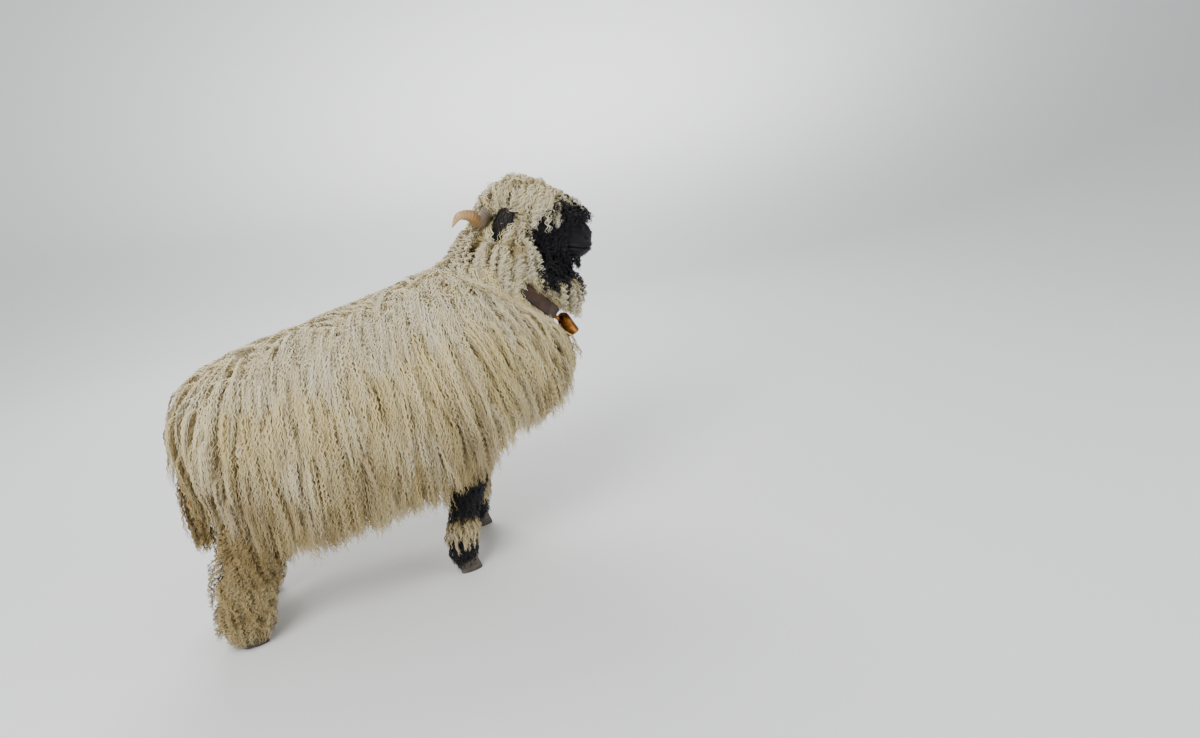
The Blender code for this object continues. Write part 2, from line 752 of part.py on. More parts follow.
def mouth_slit(core):
    """Make the thin curved slot that parts the lips all round the muzzle."""
    bm = bmesh.new()
    bmesh.ops.create_cube(bm, size=1.0)
    reach = 0.04
    bmesh.ops.scale(bm, vec=(reach - MOUTH_BACK, 4 * reach, MOUTH_HEIGHT), verts=bm.verts)
    middle = Matrix.Translation(((reach + MOUTH_BACK) / 2, 0, 0))
    bmesh.ops.transform(bm, matrix=head_matrix() @ middle, verts=bm.verts)
    slot = add_object("slot", bm, "black_wool")
    inner = core.grown(-MOUTH_DEPTH)
    cut(slot, [add_object("inner", inner.mesh(HEAD_RINGS, HEAD_SIDES), "black_wool")])
    return slot


def level_angle(form, t, level):
    """Return the angle, on the left side, at which a head form's surface is at a level of its own frame."""
    back = head_matrix().inverted()
    low, high = 0.0, math.pi
    for _ in range(24):
        middle = (low + high) / 2
        if (back @ form.point(t, middle)).z > level:
            low = middle
        else:
            high = middle
    return (low + high) / 2


def lips(core):
    """Make the rolls of the upper and lower lip round the muzzle."""
    rolls = []
    for level in (MOUTH_HEIGHT / 2 + LIP_RADIUS * 0.8, -MOUTH_HEIGHT / 2 - LIP_RADIUS * 0.8):
        left = []
        for step in range(7):
            t = 0.30 * (1 - step / 6) + 0.012
            left.append(core.point(t, level_angle(core, t, level)))
        right = [head_matrix() @ mirrored(head_matrix().inverted() @ point, -1) for point in reversed(left)]
        path = left + right
        bm = bmesh.new()
        loops = []
        for index, point in enumerate(path):
            forward = (path[min(index + 1, len(path) - 1)] - path[max(index - 1, 0)]).normalized()
            up = head_matrix().to_3x3() @ Vector((0, 0, 1))
            wide = forward.cross(up).normalized()
            radius = LIP_RADIUS * (0.6 + 0.4 * math.sin(math.pi * index / (len(path) - 1)))
            loops.append([bm.verts.new(point + (wide * math.cos(a) + up * math.sin(a)) * radius)
                          for a in [2 * math.pi * corner / 6 for corner in range(6)]])
        skin(bm, loops)
        rolls.append(add_object("lip", bm, "black_wool"))
    return rolls


def build_eyes():
    """Set both eyes in their sockets."""
    place = head_matrix()
    for side, label in SIDES:
        ball("eye_" + label, place @ mirrored(EYE_PLACE, side), [EYE_RADIUS] * 3, "eye")


def ear(name, side, extra=0.0, clear=0.0):
    """Make one ear: a leaf that leaves the head sideways and hangs, cupped, or the room it needs."""
    place = head_matrix()
    rings, across_count = 9, 6
    path = [mirrored(point, side) for point in EAR_PATH]
    path[0] -= (path[1] - path[0]).normalized() * extra
    bm = bmesh.new()
    loops = []
    for index in range(rings):
        t = index / (rings - 1)
        centre = along(path, t)
        forward = (along(path, min(t + 0.05, 1)) - along(path, max(t - 0.05, 0))).normalized()
        wide = Vector((1, 0.25 * side, 0))
        wide = (wide - forward * wide.dot(forward)).normalized()
        thick = forward.cross(wide) * side
        half = along(EAR_HALF_WIDTHS, t) + extra
        wall = EAR_WALL * (1.25 - 0.6 * t) / 2 + extra
        cup = 0.30 * half
        front, back = [], []
        for step in range(across_count):
            share = -1 + 2 * step / (across_count - 1)
            arc = centre + wide * half * share + thick * cup * share * share
            edge = wall * (1.0 - 0.55 * share * share)
            outside = Vector((0, side * clear, 0))
            front.append(arc + thick * edge + (outside if thick.y * side > 0 else Vector()))
            back.append(arc - thick * edge + (outside if thick.y * side <= 0 else Vector()))
        loops.append([bm.verts.new(place @ point) for point in front + back[::-1]])
    skin(bm, loops)
    return add_object(name, bm, "black_wool")


def horn(name, side, extra=0.0):
    """Make one horn: a round bar that sweeps back and down, turns out and up, and drops its tip."""
    place = head_matrix()
    rings, around = 13, 10
    path = [mirrored(point, side) for point in HORN_PATH]
    path[0] -= (path[1] - path[0]).normalized() * extra
    bm = bmesh.new()
    loops = []
    for index in range(rings):
        t = index / (rings - 1)
        centre = along(path, t)
        forward = (along(path, min(t + 0.03, 1)) - along(path, max(t - 0.03, 0))).normalized()
        wide = Vector((0, 0, 1))
        wide = (wide - forward * wide.dot(forward)).normalized()
        thick = forward.cross(wide)
        radius = along(HORN_RADII, t) + extra
        loop = []
        for turn in range(around):
            angle = 2 * math.pi * turn / around
            loop.append(bm.verts.new(place @ (centre + wide * math.cos(angle) * radius
                                              + thick * math.sin(angle) * radius * 0.85)))
        loops.append(loop)
    skin(bm, loops)
    return add_object(name, bm, "horn")


def resized(stations, extras):
    """Return stations whose last two sizes are changed by each station's extra."""
    return [(*station[:2], station[2] + extra, station[3] + extra)
            for station, extra in zip(stations, extras)]


def core_and_guard(stations, depths, spare, across, stride=0.0):
    """Return the core of a hanging part and the guard that its wool stays inside."""
    core = level_form(resized(stations, [-depth for depth in depths]), across, stride)
    return core, level_form(resized(stations, spare), across, stride).grown(ROOM / 4)


def leg_forms():
    """Return each leg's core and guard, by the leg's name."""
    forms = {}
    for index, (side, label) in enumerate(SIDES):
        across = LEG_SPREAD * side
        forms["hind_leg_" + label] = core_and_guard(HIND_STATIONS, HIND_DEPTHS, HIND_SPARE, across,
                                                    HIND_STRIDE[index])
        forms["front_leg_" + label] = core_and_guard(FRONT_STATIONS, FRONT_DEPTHS, FRONT_SPARE, across,
                                                     FRONT_STRIDE[index])
    return forms


def tail_forms():
    """Return the tail's core and guard."""
    return core_and_guard(TAIL_STATIONS, TAIL_DEPTHS, TAIL_SPARE, 0)


def build_legs():
    """Make the four legs, which start in their sockets and end on the claws, with their wool."""
    for name, (core, guard) in leg_forms().items():
        hind = name.startswith("hind")
        finish = "fleece" if hind else "black_wool"
        leg = add_object(name, core.mesh(LEG_RINGS, LEG_SIDES), finish)
        if hind:
            pieces = ring_coat(core, HIND_CURLS, True, 0.50, 0.84, finish)
        else:
            pieces = ring_coat(core, CUFF_LOCKS, False, 0.60, 0.60, finish)
        fuse(leg, pieces)
        foot = half_space(Vector((0, 0, CLAW_HEIGHT + GAP)), Vector((0, 0, -1)))
        thin_out(leg, MOST["hind_leg" if hind else "front_leg"])
        keep_inside(leg, add_object("guard", guard.mesh(LEG_RINGS, LEG_SIDES), finish))
        cut(leg, [foot])


def build_claws():
    """Stand each foot on two claws with flat soles."""
    for name, (core, _) in leg_forms().items():
        foot = core.centres[-1]
        side = 1 if foot.y > 0 else -1
        for inner, place in ((-1, "inner"), (1, "outer")):
            centre_y = foot.y + inner * side * CLAW_SPACING / 2
            claw("claw_%s_%s" % (name.replace("_leg", ""), place), foot.x + CLAW_LEAD, centre_y, inner * side)


def claw(name, centre_x, centre_y, outside):
    """Make one claw: a wedge with a flat sole, a sloping toe and a flat inner wall."""
    count = 12
    bm = bmesh.new()
    loops = []
    for height, length, width, back in ((0.0, 1.0, 1.0, 0.0), (0.45, 0.93, 0.95, 0.002), (1.0, 0.74, 0.86, 0.005)):
        loop = []
        for turn in range(count):
            angle = 2 * math.pi * turn / count
            reach = math.cos(angle)
            spread = bend(math.sin(angle), 0.7) * (1.0 - 0.38 * max(reach, 0) ** 2)
            x = centre_x + reach * CLAW_LENGTH / 2 * length - back
            inset = 0.25 if spread * outside < 0 else 1.0
            y = centre_y + spread * CLAW_WIDTH / 2 * width * (0.55 + 0.45 * inset)
            loop.append(bm.verts.new((x, y, height * CLAW_HEIGHT)))
        loops.append(loop)
    skin(bm, loops)
    return add_object(name, bm, "claw")


def build_tail():
    """Hang the tail from the rump, with its locks."""
    core, guard = tail_forms()
    tail = add_object("tail", core.mesh(LEG_RINGS, LEG_SIDES), "fleece")
    fuse(tail, ring_coat(core, TAIL_LOCKS, False, 0.42, 0.84, "fleece"))
    thin_out(tail, MOST["tail"])
    keep_inside(tail, add_object("guard", guard.mesh(LEG_RINGS, LEG_SIDES), "fleece"))


def bell_move():
    """Return the move that hangs a bell, made with its rim at zero height, at the throat."""
    return (Matrix.Translation(BELL_CROWN) @ Matrix.Rotation(-BELL_SWING, 4, "Y")
            @ Matrix.Translation((0, 0, -BELL_PROFILE[-1][0])))


def bell_body(name, extra=0.0):
    """Make the bell's outside with its lug, which reaches to the strap's outer face."""
    profile = [(height + (extra if index else -extra), radius + extra)
               for index, (height, radius) in enumerate(BELL_PROFILE)]
    body = turned(name, profile, "bell_metal")
    body.data.transform(bell_move())
    axis, up = neck_axis()
    root = COLLAR_CENTRE - up * (STRAP_FALL + STRAP_THICKNESS + GAP - extra)
    bm = bmesh.new()
    bmesh.ops.create_cube(bm, size=1.0)
    bmesh.ops.scale(bm, vec=[size + 2 * extra for size in LUG_SIZE], verts=bm.verts)
    turn = Matrix((axis, (0, 1, 0), up)).transposed().to_4x4()
    middle = root - up * (LUG_SIZE[2] / 2 + extra)
    bmesh.ops.transform(bm, matrix=Matrix.Translation(middle) @ turn, verts=bm.verts)
    fuse(body, [add_object("lug", bm, "bell_metal")])
    return body


def build_collar():
    """Lay the strap round the neck, and hang the bell and its clapper at the throat."""
    strap_ring("collar_strap", STRAP_HALF_WIDTH, STRAP_HALF_WIDTH + STRAP_THICKNESS, STRAP_WIDTH)
    bell = bell_body("bell")
    hollow = [(height - (BELL_WALL if height else GAP), radius - BELL_WALL)
              for height, radius in BELL_PROFILE]
    hollow[0] = (-BELL_WALL, hollow[0][1])
    room = turned("hollow", hollow, "bell_metal")
    room.data.transform(bell_move())
    cut(bell, [room])
    clapper = ball("bell_clapper", (0, 0, CLAPPER_HEIGHT), [CLAPPER_RADIUS] * 3, "bell_metal", 12, 8)
    top = BELL_PROFILE[-1][0] - BELL_WALL - GAP
    bm = bmesh.new()
    bmesh.ops.create_cone(bm, cap_ends=True, segments=8, radius1=CLAPPER_STEM, radius2=CLAPPER_STEM,
                          depth=top - CLAPPER_HEIGHT)
    bmesh.ops.translate(bm, vec=(0, 0, (top + CLAPPER_HEIGHT) / 2), verts=bm.verts)
    fuse(clapper, [add_object("stem", bm, "bell_metal")])
    clapper.data.transform(bell_move())


def turned(name, profile, finish):
    """Turn a profile of heights and radii into a closed, slightly flattened body."""
    around = 20
    bm = bmesh.new()
    loops = []
    for height, radius in profile:
        loops.append([bm.verts.new((radius * BELL_FLATTEN * math.cos(2 * math.pi * turn / around),
                                    radius * math.sin(2 * math.pi * turn / around), height))
                      for turn in range(around)])
    skin(bm, loops)
    return add_object(name, bm, finish)


def centre_on_floor():
    """Move every solid so that the origin is the middle of the sheep's box, at floor height."""
    corners = [v.co for item in bpy.data.objects for v in item.data.vertices]
    low = Vector([min(corner[i] for corner in corners) for i in range(3)])
    high = Vector([max(corner[i] for corner in corners) for i in range(3)])
    middle = (low + high) / 2
    shift = Matrix.Translation((-middle.x, -middle.y, -low.z))
    for item in bpy.data.objects:
        item.data.transform(shift)


def main():
    """Build every solid of the sheep."""
    for old in list(bpy.data.objects):
        bpy.data.objects.remove(old)
    random.seed(SEED)
    build_torso()
    build_neck()
    build_head()
    build_eyes()
    for side, label in SIDES:
        ear("ear_" + label, side)
        horn("horn_" + label, side)
    build_legs()
    build_claws()
    build_tail()
    build_collar()
    centre_on_floor()


main()
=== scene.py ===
"""Looks for a life-size still model of a Valais blacknose sheep.

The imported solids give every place. One skin stands for the solids of flesh, and the fleece is built over
it as staples of wavy wool, each a bundle of thin ribbons that leaves the skin, follows the lie of the
coat and hangs free where the body turns under. Sizes are in metres.
"""

import logging
import math
from collections.abc import Callable
from dataclasses import dataclass, field, fields, replace
from enum import Enum

import bmesh
import bpy
import numpy as np
from bmesh.types import BMesh
from bpy.types import ID, Material, Mesh, Node, NodeSocket, Object
from mathutils import Matrix, Vector
from mathutils.bvhtree import BVHTree

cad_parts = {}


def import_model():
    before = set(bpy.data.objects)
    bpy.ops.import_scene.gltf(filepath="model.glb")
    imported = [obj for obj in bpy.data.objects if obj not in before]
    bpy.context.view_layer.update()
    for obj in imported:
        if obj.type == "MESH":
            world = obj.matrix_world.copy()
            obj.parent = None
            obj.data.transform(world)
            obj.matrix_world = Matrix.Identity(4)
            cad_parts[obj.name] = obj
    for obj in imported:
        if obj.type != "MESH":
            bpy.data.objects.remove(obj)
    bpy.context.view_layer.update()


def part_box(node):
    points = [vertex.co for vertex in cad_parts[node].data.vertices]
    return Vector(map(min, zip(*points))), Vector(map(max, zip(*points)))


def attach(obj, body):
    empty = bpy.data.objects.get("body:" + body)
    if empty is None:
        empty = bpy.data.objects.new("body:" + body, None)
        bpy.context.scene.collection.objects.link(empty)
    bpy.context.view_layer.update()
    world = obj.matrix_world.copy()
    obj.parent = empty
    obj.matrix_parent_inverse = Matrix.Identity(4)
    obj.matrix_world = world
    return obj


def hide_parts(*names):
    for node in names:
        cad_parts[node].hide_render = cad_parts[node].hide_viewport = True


LOG = logging.getLogger("sheep")
ROOT = "root"
SEED = 27
DOWN = (0.0, 0.0, -1.0)
COLOURS = {"data_type": "RGBA"}
Array = np.ndarray


class Region(Enum):
    """Parts of the body that carry different wool."""

    TORSO = 0
    NECK = 1
    HEAD = 2
    HIND = 3
    FRONT = 4
    TAIL = 5


class Side(Enum):
    """The sheep's sides, with the sign of their Y."""

    RIGHT = -1
    LEFT = 1

    @property
    def label(self) -> str:
        """Return the side's word in the names of nodes and pieces."""
        return self.name.lower()


def unit(vectors: Array) -> Array:
    """Scale vectors to length one.

    Args:
        vectors: An array whose last axis holds the three parts.

    Returns:
        The array with each vector divided by its length.
    """
    return vectors / np.maximum(np.linalg.norm(vectors, axis=-1, keepdims=True), 1e-9)


def smooth(low: float, high: float, value: Array) -> Array:
    """Rise smoothly from zero at the low value to one at the high value."""
    share = np.clip((value - low) / (high - low), 0.0, 1.0)
    return share * share * (3.0 - 2.0 * share)


def linear(code: str) -> tuple[float, float, float, float]:
    """Turn an sRGB hex colour to linear red, green, blue and alpha.

    Args:
        code: Six hex digits.

    Returns:
        Four linear numbers for a shader's socket.
    """
    parts = [int(code[i:i + 2], 16) / 255 for i in (0, 2, 4)]
    red, green, blue = (p / 12.92 if p <= 0.04045 else ((p + 0.055) / 1.055) ** 2.4 for p in parts)
    return red, green, blue, 1.0


def cubic(before: Array, start: Array, end: Array, after: Array, share: Array) -> Array:
    """Read smoothly between two rows, with the slopes that their neighbours give.

    Args:
        before: The row before the start.
        start: The row at share zero.
        end: The row at share one.
        after: The row after the end.
        share: Where to read.

    Returns:
        The row there.
    """
    square, cube = share ** 2, share ** 3
    return ((2 * cube - 3 * square + 1) * start + (cube - 2 * square + share) * (end - before) / 2
            + (3 * square - 2 * cube) * end + (cube - square) * (after - start) / 2)


def hermite(values: Array, t: Array) -> Array:
    """Read rows of values smoothly, with t from 0 to 1 over the rows.

    Args:
        values: Rows to read between, of any width.
        t: Where to read, as a flat array.

    Returns:
        One row for each t.
    """
    last = len(values) - 1
    spot = np.clip(t, 0.0, 1.0) * last
    index = np.minimum(spot.astype(int), last - 1)
    share = (spot - index).reshape((-1,) + (1,) * (values.ndim - 1))
    return cubic(values[np.maximum(index - 1, 0)], values[index], values[index + 1],
                 values[np.minimum(index + 2, last)], share)


def bend(value: Array, power: float) -> Array:
    """Raise a sine or cosine to a power and keep its sign."""
    return np.sign(value) * np.abs(value) ** power


def turns(count: int) -> Array:
    """Return a number of even angles round a circle."""
    return np.arange(count) * 2 * math.pi / count


def vector(x: float, y: float, z: float) -> Vector:
    """Return a dataclass field that starts as a place or a direction."""
    return field(default_factory=lambda: Vector((x, y, z)))


def at(values: Array, t: float) -> Array:
    """Read one row of values smoothly."""
    return hermite(values, np.array([t]))[0]


def heading(path: Array, t: float, reach: float) -> Array:
    """Return the direction of a path at t, read over a reach on both sides."""
    return unit(at(path, min(t + reach, 1)) - at(path, max(t - reach, 0)))


def paint(mesh: Mesh, name: str, values: Array) -> None:
    """Write four numbers for each vertex as a colour attribute."""
    layer = mesh.attributes.new(name, "FLOAT_COLOR", "POINT")
    layer.data.foreach_set("color", values.ravel())


def link(name: str, data: ID) -> Object:
    """Make an object of a mesh, a lamp or a camera, and link it to the scene.

    Args:
        name: The object's name.
        data: What it holds.

    Returns:
        The object.
    """
    made = bpy.data.objects.new(name, data)
    bpy.context.scene.collection.objects.link(made)
    return made


def bridge_rings(rings: list, endless: bool = False) -> BMesh:
    """Bridge rings of points into one closed body.

    Args:
        rings: The points of each ring, the same number in each.
        endless: Whether the last ring joins the first, so that there are no ends to close.

    Returns:
        The body, with its faces outwards.
    """
    bm = bmesh.new()
    loops = []
    for points in rings:
        ring = bmesh.ops.create_circle(bm, segments=len(points), radius=1.0)["verts"]
        for vert, place in zip(ring, points):
            vert.co = place
        loops.append(list({edge for vert in ring for edge in vert.link_edges}))
    for first, second in zip(loops, loops[1:] + loops[:1] if endless else loops[1:]):
        bmesh.ops.bridge_loops(bm, edges=first + second)
    bmesh.ops.holes_fill(bm, edges=[edge for edge in bm.edges if edge.is_boundary])
    bmesh.ops.recalc_face_normals(bm, faces=bm.faces)
    return bm


def finish_mesh(name: str, bm: BMesh, material: Material) -> Object:
    """Turn a bmesh into a smooth-shaded object at the origin.

    Args:
        name: The piece's name.
        bm: The shape, which is freed.
        material: The finish of the whole piece.

    Returns:
        The new object, linked to the scene.
    """
    mesh = bpy.data.meshes.new(name)
    bm.to_mesh(mesh)
    bm.free()
    mesh.shade_smooth()
    mesh.materials.append(material)
    return link(name, mesh)


def settle(piece: Object, slot: str, *nodes: str) -> Object:
    """Let a piece ride on the body, and stand for the nodes it replaces.

    Args:
        piece: The finished piece.
        slot: The record's slot that it belongs to. It is not used.
        *nodes: The nodes it replaces.

    Returns:
        The same piece.
    """
    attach(piece, ROOT)
    if nodes:
        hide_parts(*nodes)
    LOG.info("%s: %d faces", piece.name, len(piece.data.polygons))
    return piece


@dataclass
class Sweep:
    """A rounded body swept through ovals, as the solids are."""

    centres: Array
    sides: Array
    ups: Array
    widths: Array
    rises: Array
    falls: Array
    squareness: float = 0.9

    @classmethod
    def upright(cls, stations: tuple, squareness: float = 0.9) -> "Sweep":
        """Sweep upright ovals from (along, top, bottom, half width) stations.

        Args:
            stations: The ovals, from back to front.
            squareness: Below one, how squared the ovals are.

        Returns:
            The sweep.
        """
        rows = np.array(stations)
        count = len(rows)
        centres = np.stack([rows[:, 0], np.zeros(count), (rows[:, 1] + rows[:, 2]) / 2], axis=1)
        halves = (rows[:, 1] - rows[:, 2]) / 2
        return cls(centres, np.tile([0.0, 1, 0], (count, 1)), np.tile([0.0, 0, 1], (count, 1)),
                   rows[:, 3], halves, halves, squareness)

    @classmethod
    def level(cls, stations: tuple, across: float, stride: float = 0.0, shank: float = 0.2) -> "Sweep":
        """Sweep level ovals from (height, along, half length, half width) stations with a stride.

        Args:
            stations: The ovals, from the top down.
            across: How far to the left the sweep stands.
            stride: How far its lower end is set forward.
            shank: The height where the stride ends.

        Returns:
            The sweep.
        """
        rows = np.array(stations)
        count = len(rows)
        top = rows[0, 0]
        along = rows[:, 1] + stride * np.minimum((top - rows[:, 0]) / (top - shank), 1.0)
        centres = np.stack([along, np.full(count, across), rows[:, 0]], axis=1)
        return cls(centres, np.tile([0.0, 1, 0], (count, 1)), np.tile([1.0, 0, 0], (count, 1)),
                   rows[:, 3], rows[:, 2], rows[:, 2], 0.95)

    def points(self, t: Array, angle: Array) -> Array:
        """Return surface points.

        Args:
            t: Places along the sweep, from 0 to 1.
            angle: Angles round from the top, towards the left side.

        Returns:
            One point for each pair.
        """
        cosine = np.cos(angle)
        reach = np.where(cosine >= 0, hermite(self.rises, t), hermite(self.falls, t))
        side = hermite(self.sides, t) * hermite(self.widths, t)[:, None]
        up = hermite(self.ups, t) * reach[:, None]
        return (hermite(self.centres, t) + side * bend(np.sin(angle), self.squareness)[:, None]
                + up * bend(cosine, self.squareness)[:, None])

    def grown(self, depth: float | Array, least: float = 0.008) -> "Sweep":
        """Return the sweep with every oval made larger by a depth.

        Args:
            depth: How much larger, or one such number for each oval.
            least: The least half size that an oval keeps.

        Returns:
            The larger sweep.
        """
        widths, rises, falls = (np.maximum(half + depth, least) for half in (self.widths, self.rises, self.falls))
        return replace(self, widths=widths, rises=rises, falls=falls)

    def carried(self, move: Matrix) -> "Sweep":
        """Return the sweep after a rigid move.

        Args:
            move: The move.

        Returns:
            The moved sweep.
        """
        turn = np.array(move.to_3x3())
        centres = self.centres @ turn.T + np.array(move.translation)
        return replace(self, centres=centres, sides=self.sides @ turn.T, ups=self.ups @ turn.T)

    def shell(self, rings: int, around: int) -> BMesh:
        """Return a closed body of bridged rings, each with a number of points around."""
        angles = turns(around)
        return bridge_rings([self.points(np.full(around, t), angles) for t in np.linspace(0.0, 1.0, rings)])


@dataclass
class SheepPlan:
    """The solids' own sizes, and the forms of the flesh under the fleece."""

    torso: tuple = (
        (-0.440, 0.622, 0.500, 0.050), (-0.424, 0.682, 0.410, 0.140), (-0.380, 0.728, 0.315, 0.212),
        (-0.290, 0.764, 0.232, 0.268), (-0.160, 0.790, 0.180, 0.300), (0.010, 0.818, 0.190, 0.308),
        (0.180, 0.850, 0.222, 0.300), (0.320, 0.878, 0.270, 0.280), (0.445, 0.852, 0.318, 0.246),
        (0.545, 0.770, 0.372, 0.205), (0.615, 0.685, 0.425, 0.150), (0.650, 0.590, 0.490, 0.060),
    )
    torso_coat: float = 0.052
    collar_centre: Vector = vector(0.515, 0.0, 0.780)
    collar_lean: float = math.radians(45.0)
    neck_steps: tuple = ((-0.075, 0.0, 0.0, 0.0), (0.020, 0.004, 0.1, 0.0), (0.105, 0.020, 0.6, 0.4),
                         (0.185, 0.034, 1.0, 1.0))
    neck_sizes: tuple = ((0.172, 0.195, 0.200), (0.172, 0.200, 0.214), (0.162, 0.200, 0.236),
                         (0.112, 0.135, 0.130))
    neck_coat: float = 0.042
    head_place: Vector = vector(0.756, -0.077, 0.851)
    head_turn: float = math.radians(-35.0)
    head_nod: float = math.radians(12.0)
    face: tuple = (
        (0.006, 0.046, -0.006, 0.016), (-0.004, 0.060, -0.022, 0.028), (-0.022, 0.076, -0.032, 0.036),
        (-0.050, 0.096, -0.037, 0.039), (-0.085, 0.120, -0.043, 0.046), (-0.120, 0.138, -0.054, 0.058),
        (-0.155, 0.150, -0.066, 0.070), (-0.195, 0.156, -0.072, 0.076), (-0.235, 0.150, -0.068, 0.074),
        (-0.270, 0.130, -0.050, 0.062),
    )
    eye_place: Vector = vector(-0.126, 0.047, 0.082)
    eye_radius: float = 0.016
    hind: tuple = (
        (0.430, -0.270, 0.090, 0.070), (0.350, -0.305, 0.102, 0.078), (0.270, -0.342, 0.106, 0.080),
        (0.190, -0.376, 0.094, 0.076), (0.110, -0.396, 0.092, 0.074), (0.044, -0.402, 0.098, 0.074),
    )
    hind_depths: tuple = (0.020, 0.024, 0.034, 0.038, 0.040, 0.046)
    hind_stride: tuple = (-0.015, 0.045)
    front: tuple = (
        (0.440, 0.320, 0.066, 0.056), (0.320, 0.312, 0.060, 0.052), (0.235, 0.298, 0.052, 0.047),
        (0.165, 0.286, 0.054, 0.048), (0.105, 0.275, 0.054, 0.048), (0.044, 0.266, 0.045, 0.041),
    )
    front_depths: tuple = (0.014, 0.014, 0.014, 0.020, 0.020, 0.010)
    front_stride: tuple = (-0.068, 0.056)
    leg_spread: float = 0.130
    claw_lead: float = 0.012
    tail: tuple = (
        (0.600, -0.362, 0.028, 0.030), (0.560, -0.402, 0.036, 0.042), (0.500, -0.438, 0.042, 0.055),
        (0.410, -0.460, 0.044, 0.058), (0.325, -0.464, 0.038, 0.050), (0.256, -0.456, 0.018, 0.026),
    )
    tail_depths: tuple = (0.010, 0.014, 0.022, 0.028, 0.026, 0.010)
    horn_path: tuple = ((-0.186, 0.042, 0.120), (-0.246, 0.062, 0.128), (-0.286, 0.098, 0.090),
                        (-0.298, 0.140, 0.068), (-0.313, 0.178, 0.090), (-0.338, 0.202, 0.090),
                        (-0.356, 0.204, 0.058))
    horn_radii: tuple = (0.0205, 0.0210, 0.0205, 0.0190, 0.0165, 0.0115, 0.0020)
    ear_path: tuple = ((-0.194, 0.060, 0.088), (-0.212, 0.096, 0.106), (-0.227, 0.124, 0.104),
                       (-0.234, 0.138, 0.076), (-0.237, 0.144, 0.040), (-0.238, 0.146, 0.008))
    ear_half_widths: tuple = (0.013, 0.018, 0.027, 0.031, 0.024, 0.003)
    hem: tuple = ((-0.45, 0.36), (-0.38, 0.27), (-0.28, 0.205), (-0.17, 0.222), (0.014, 0.238), (0.146, 0.255),
                  (0.22, 0.285), (0.30, 0.325), (0.40, 0.370), (0.50, 0.400), (0.57, 0.430), (0.64, 0.520))
    bell_crown: Vector = vector(0.668, 0.0, 0.650)
    bell_mouth: Vector = vector(0.690, 0.0, 0.590)
    strap_half_width: float = 0.138
    strap_half_height: float = 0.171
    shift: Vector = field(default_factory=Vector)

    def find_shift(self) -> None:
        """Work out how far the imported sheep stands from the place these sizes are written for."""
        names = ("right_inner", "right_outer", "left_inner", "left_outer")
        boxes = [np.array(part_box("claw_front_" + name)) for name in names]
        middles = [box.mean(axis=0) for box in boxes]
        foot = self.front[-1][1] + self.front_stride[0] + self.claw_lead
        self.shift = Vector((float((middles[0][0] + middles[1][0]) / 2 - foot),
                             float(np.mean([middle[1] for middle in middles])), 0.0))

    def collar_axes(self) -> tuple[Vector, Vector]:
        """Return the neck's direction at the strap, and the strap's upward direction."""
        lean = self.collar_lean
        return Vector((math.cos(lean), 0, math.sin(lean))), Vector((-math.sin(lean), 0, math.cos(lean)))

    def ear_line(self, z: float | Array) -> tuple[Array, Array]:
        """Return how far forward and how far out the ears hang, by the height in the head's own frame."""
        path = np.array(self.ear_path)[::-1]
        return np.interp(z, path[:3, 2], path[:3, 0]), np.interp(z, path[:3, 2], path[:3, 1])

    def head_move(self) -> Matrix:
        """Return the move from the head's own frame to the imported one."""
        return (Matrix.Translation(self.head_place + self.shift) @ Matrix.Rotation(self.head_turn, 4, "Z")
                @ Matrix.Rotation(self.head_nod, 4, "Y"))

    def neck_form(self) -> Sweep:
        """Sweep the neck's outline, as its solid is, at the place the sizes are written for.

        Returns:
            The neck.
        """
        axis, up = self.collar_axes()
        head_side = self.head_move().to_3x3() @ Vector((0, 1, 0))
        half_side = (Vector((0, 1, 0)) + head_side * 0.6).normalized()
        centres, sides, ups = [], [], []
        for distance, drift, side, raised in self.neck_steps:
            centres.append(self.collar_centre + axis * distance + Vector((0, drift, 0)))
            sides.append(Vector((0, 1, 0)).lerp(half_side, side).normalized())
            ups.append((up + Vector((0, 0, 0.25)) * raised).normalized())
        widths, rises, falls = np.array(self.neck_sizes).T
        return Sweep(np.array(centres), np.array(sides), np.array(ups), widths, rises, falls, 1.0)

    def horn_form(self, side: Side, end: float) -> Sweep:
        """Sweep a horn as a round bar from its root to a share of its length.

        Args:
            side: The horn's side.
            end: The share of its length.

        Returns:
            The horn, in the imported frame.
        """
        path = hermite(np.array(self.horn_path) * (1, side.value, 1), np.linspace(0, end, 12))
        radii = hermite(np.array(self.horn_radii), np.linspace(0, end, 12))
        forward = unit(np.gradient(path, axis=0))
        ups = unit(np.array([0.0, 0, 1]) - forward * forward[:, 2:3])
        return Sweep(path, np.cross(ups, forward), ups, radii, radii, radii, 1.0).carried(self.head_move())

    def flesh(self) -> dict[str, tuple[Region, Sweep]]:
        """Return each form of flesh with its region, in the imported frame.

        Returns:
            The forms by their nodes' names.
        """
        move = Matrix.Translation(self.shift)
        forms = {
            "torso": (Region.TORSO, Sweep.upright(self.torso).grown(-self.torso_coat).carried(move)),
            "neck": (Region.NECK, self.neck_form().grown(-self.neck_coat).carried(move)),
            "head": (Region.HEAD, Sweep.upright(self.face, 0.85).grown(-0.002).carried(self.head_move())),
            "tail": (Region.TAIL, Sweep.level(self.tail, 0.0).grown(-np.array(self.tail_depths)).carried(move)),
        }
        for index, side in enumerate(Side):
            across = self.leg_spread * side.value
            hind = Sweep.level(self.hind, across, self.hind_stride[index]).grown(-np.array(self.hind_depths))
            front = Sweep.level(self.front, across, self.front_stride[index])
            front = front.grown(-np.array(self.front_depths))
            forms["hind_leg_" + side.label] = (Region.HIND, hind.carried(move))
            forms["front_leg_" + side.label] = (Region.FRONT, front.carried(move))
        return forms


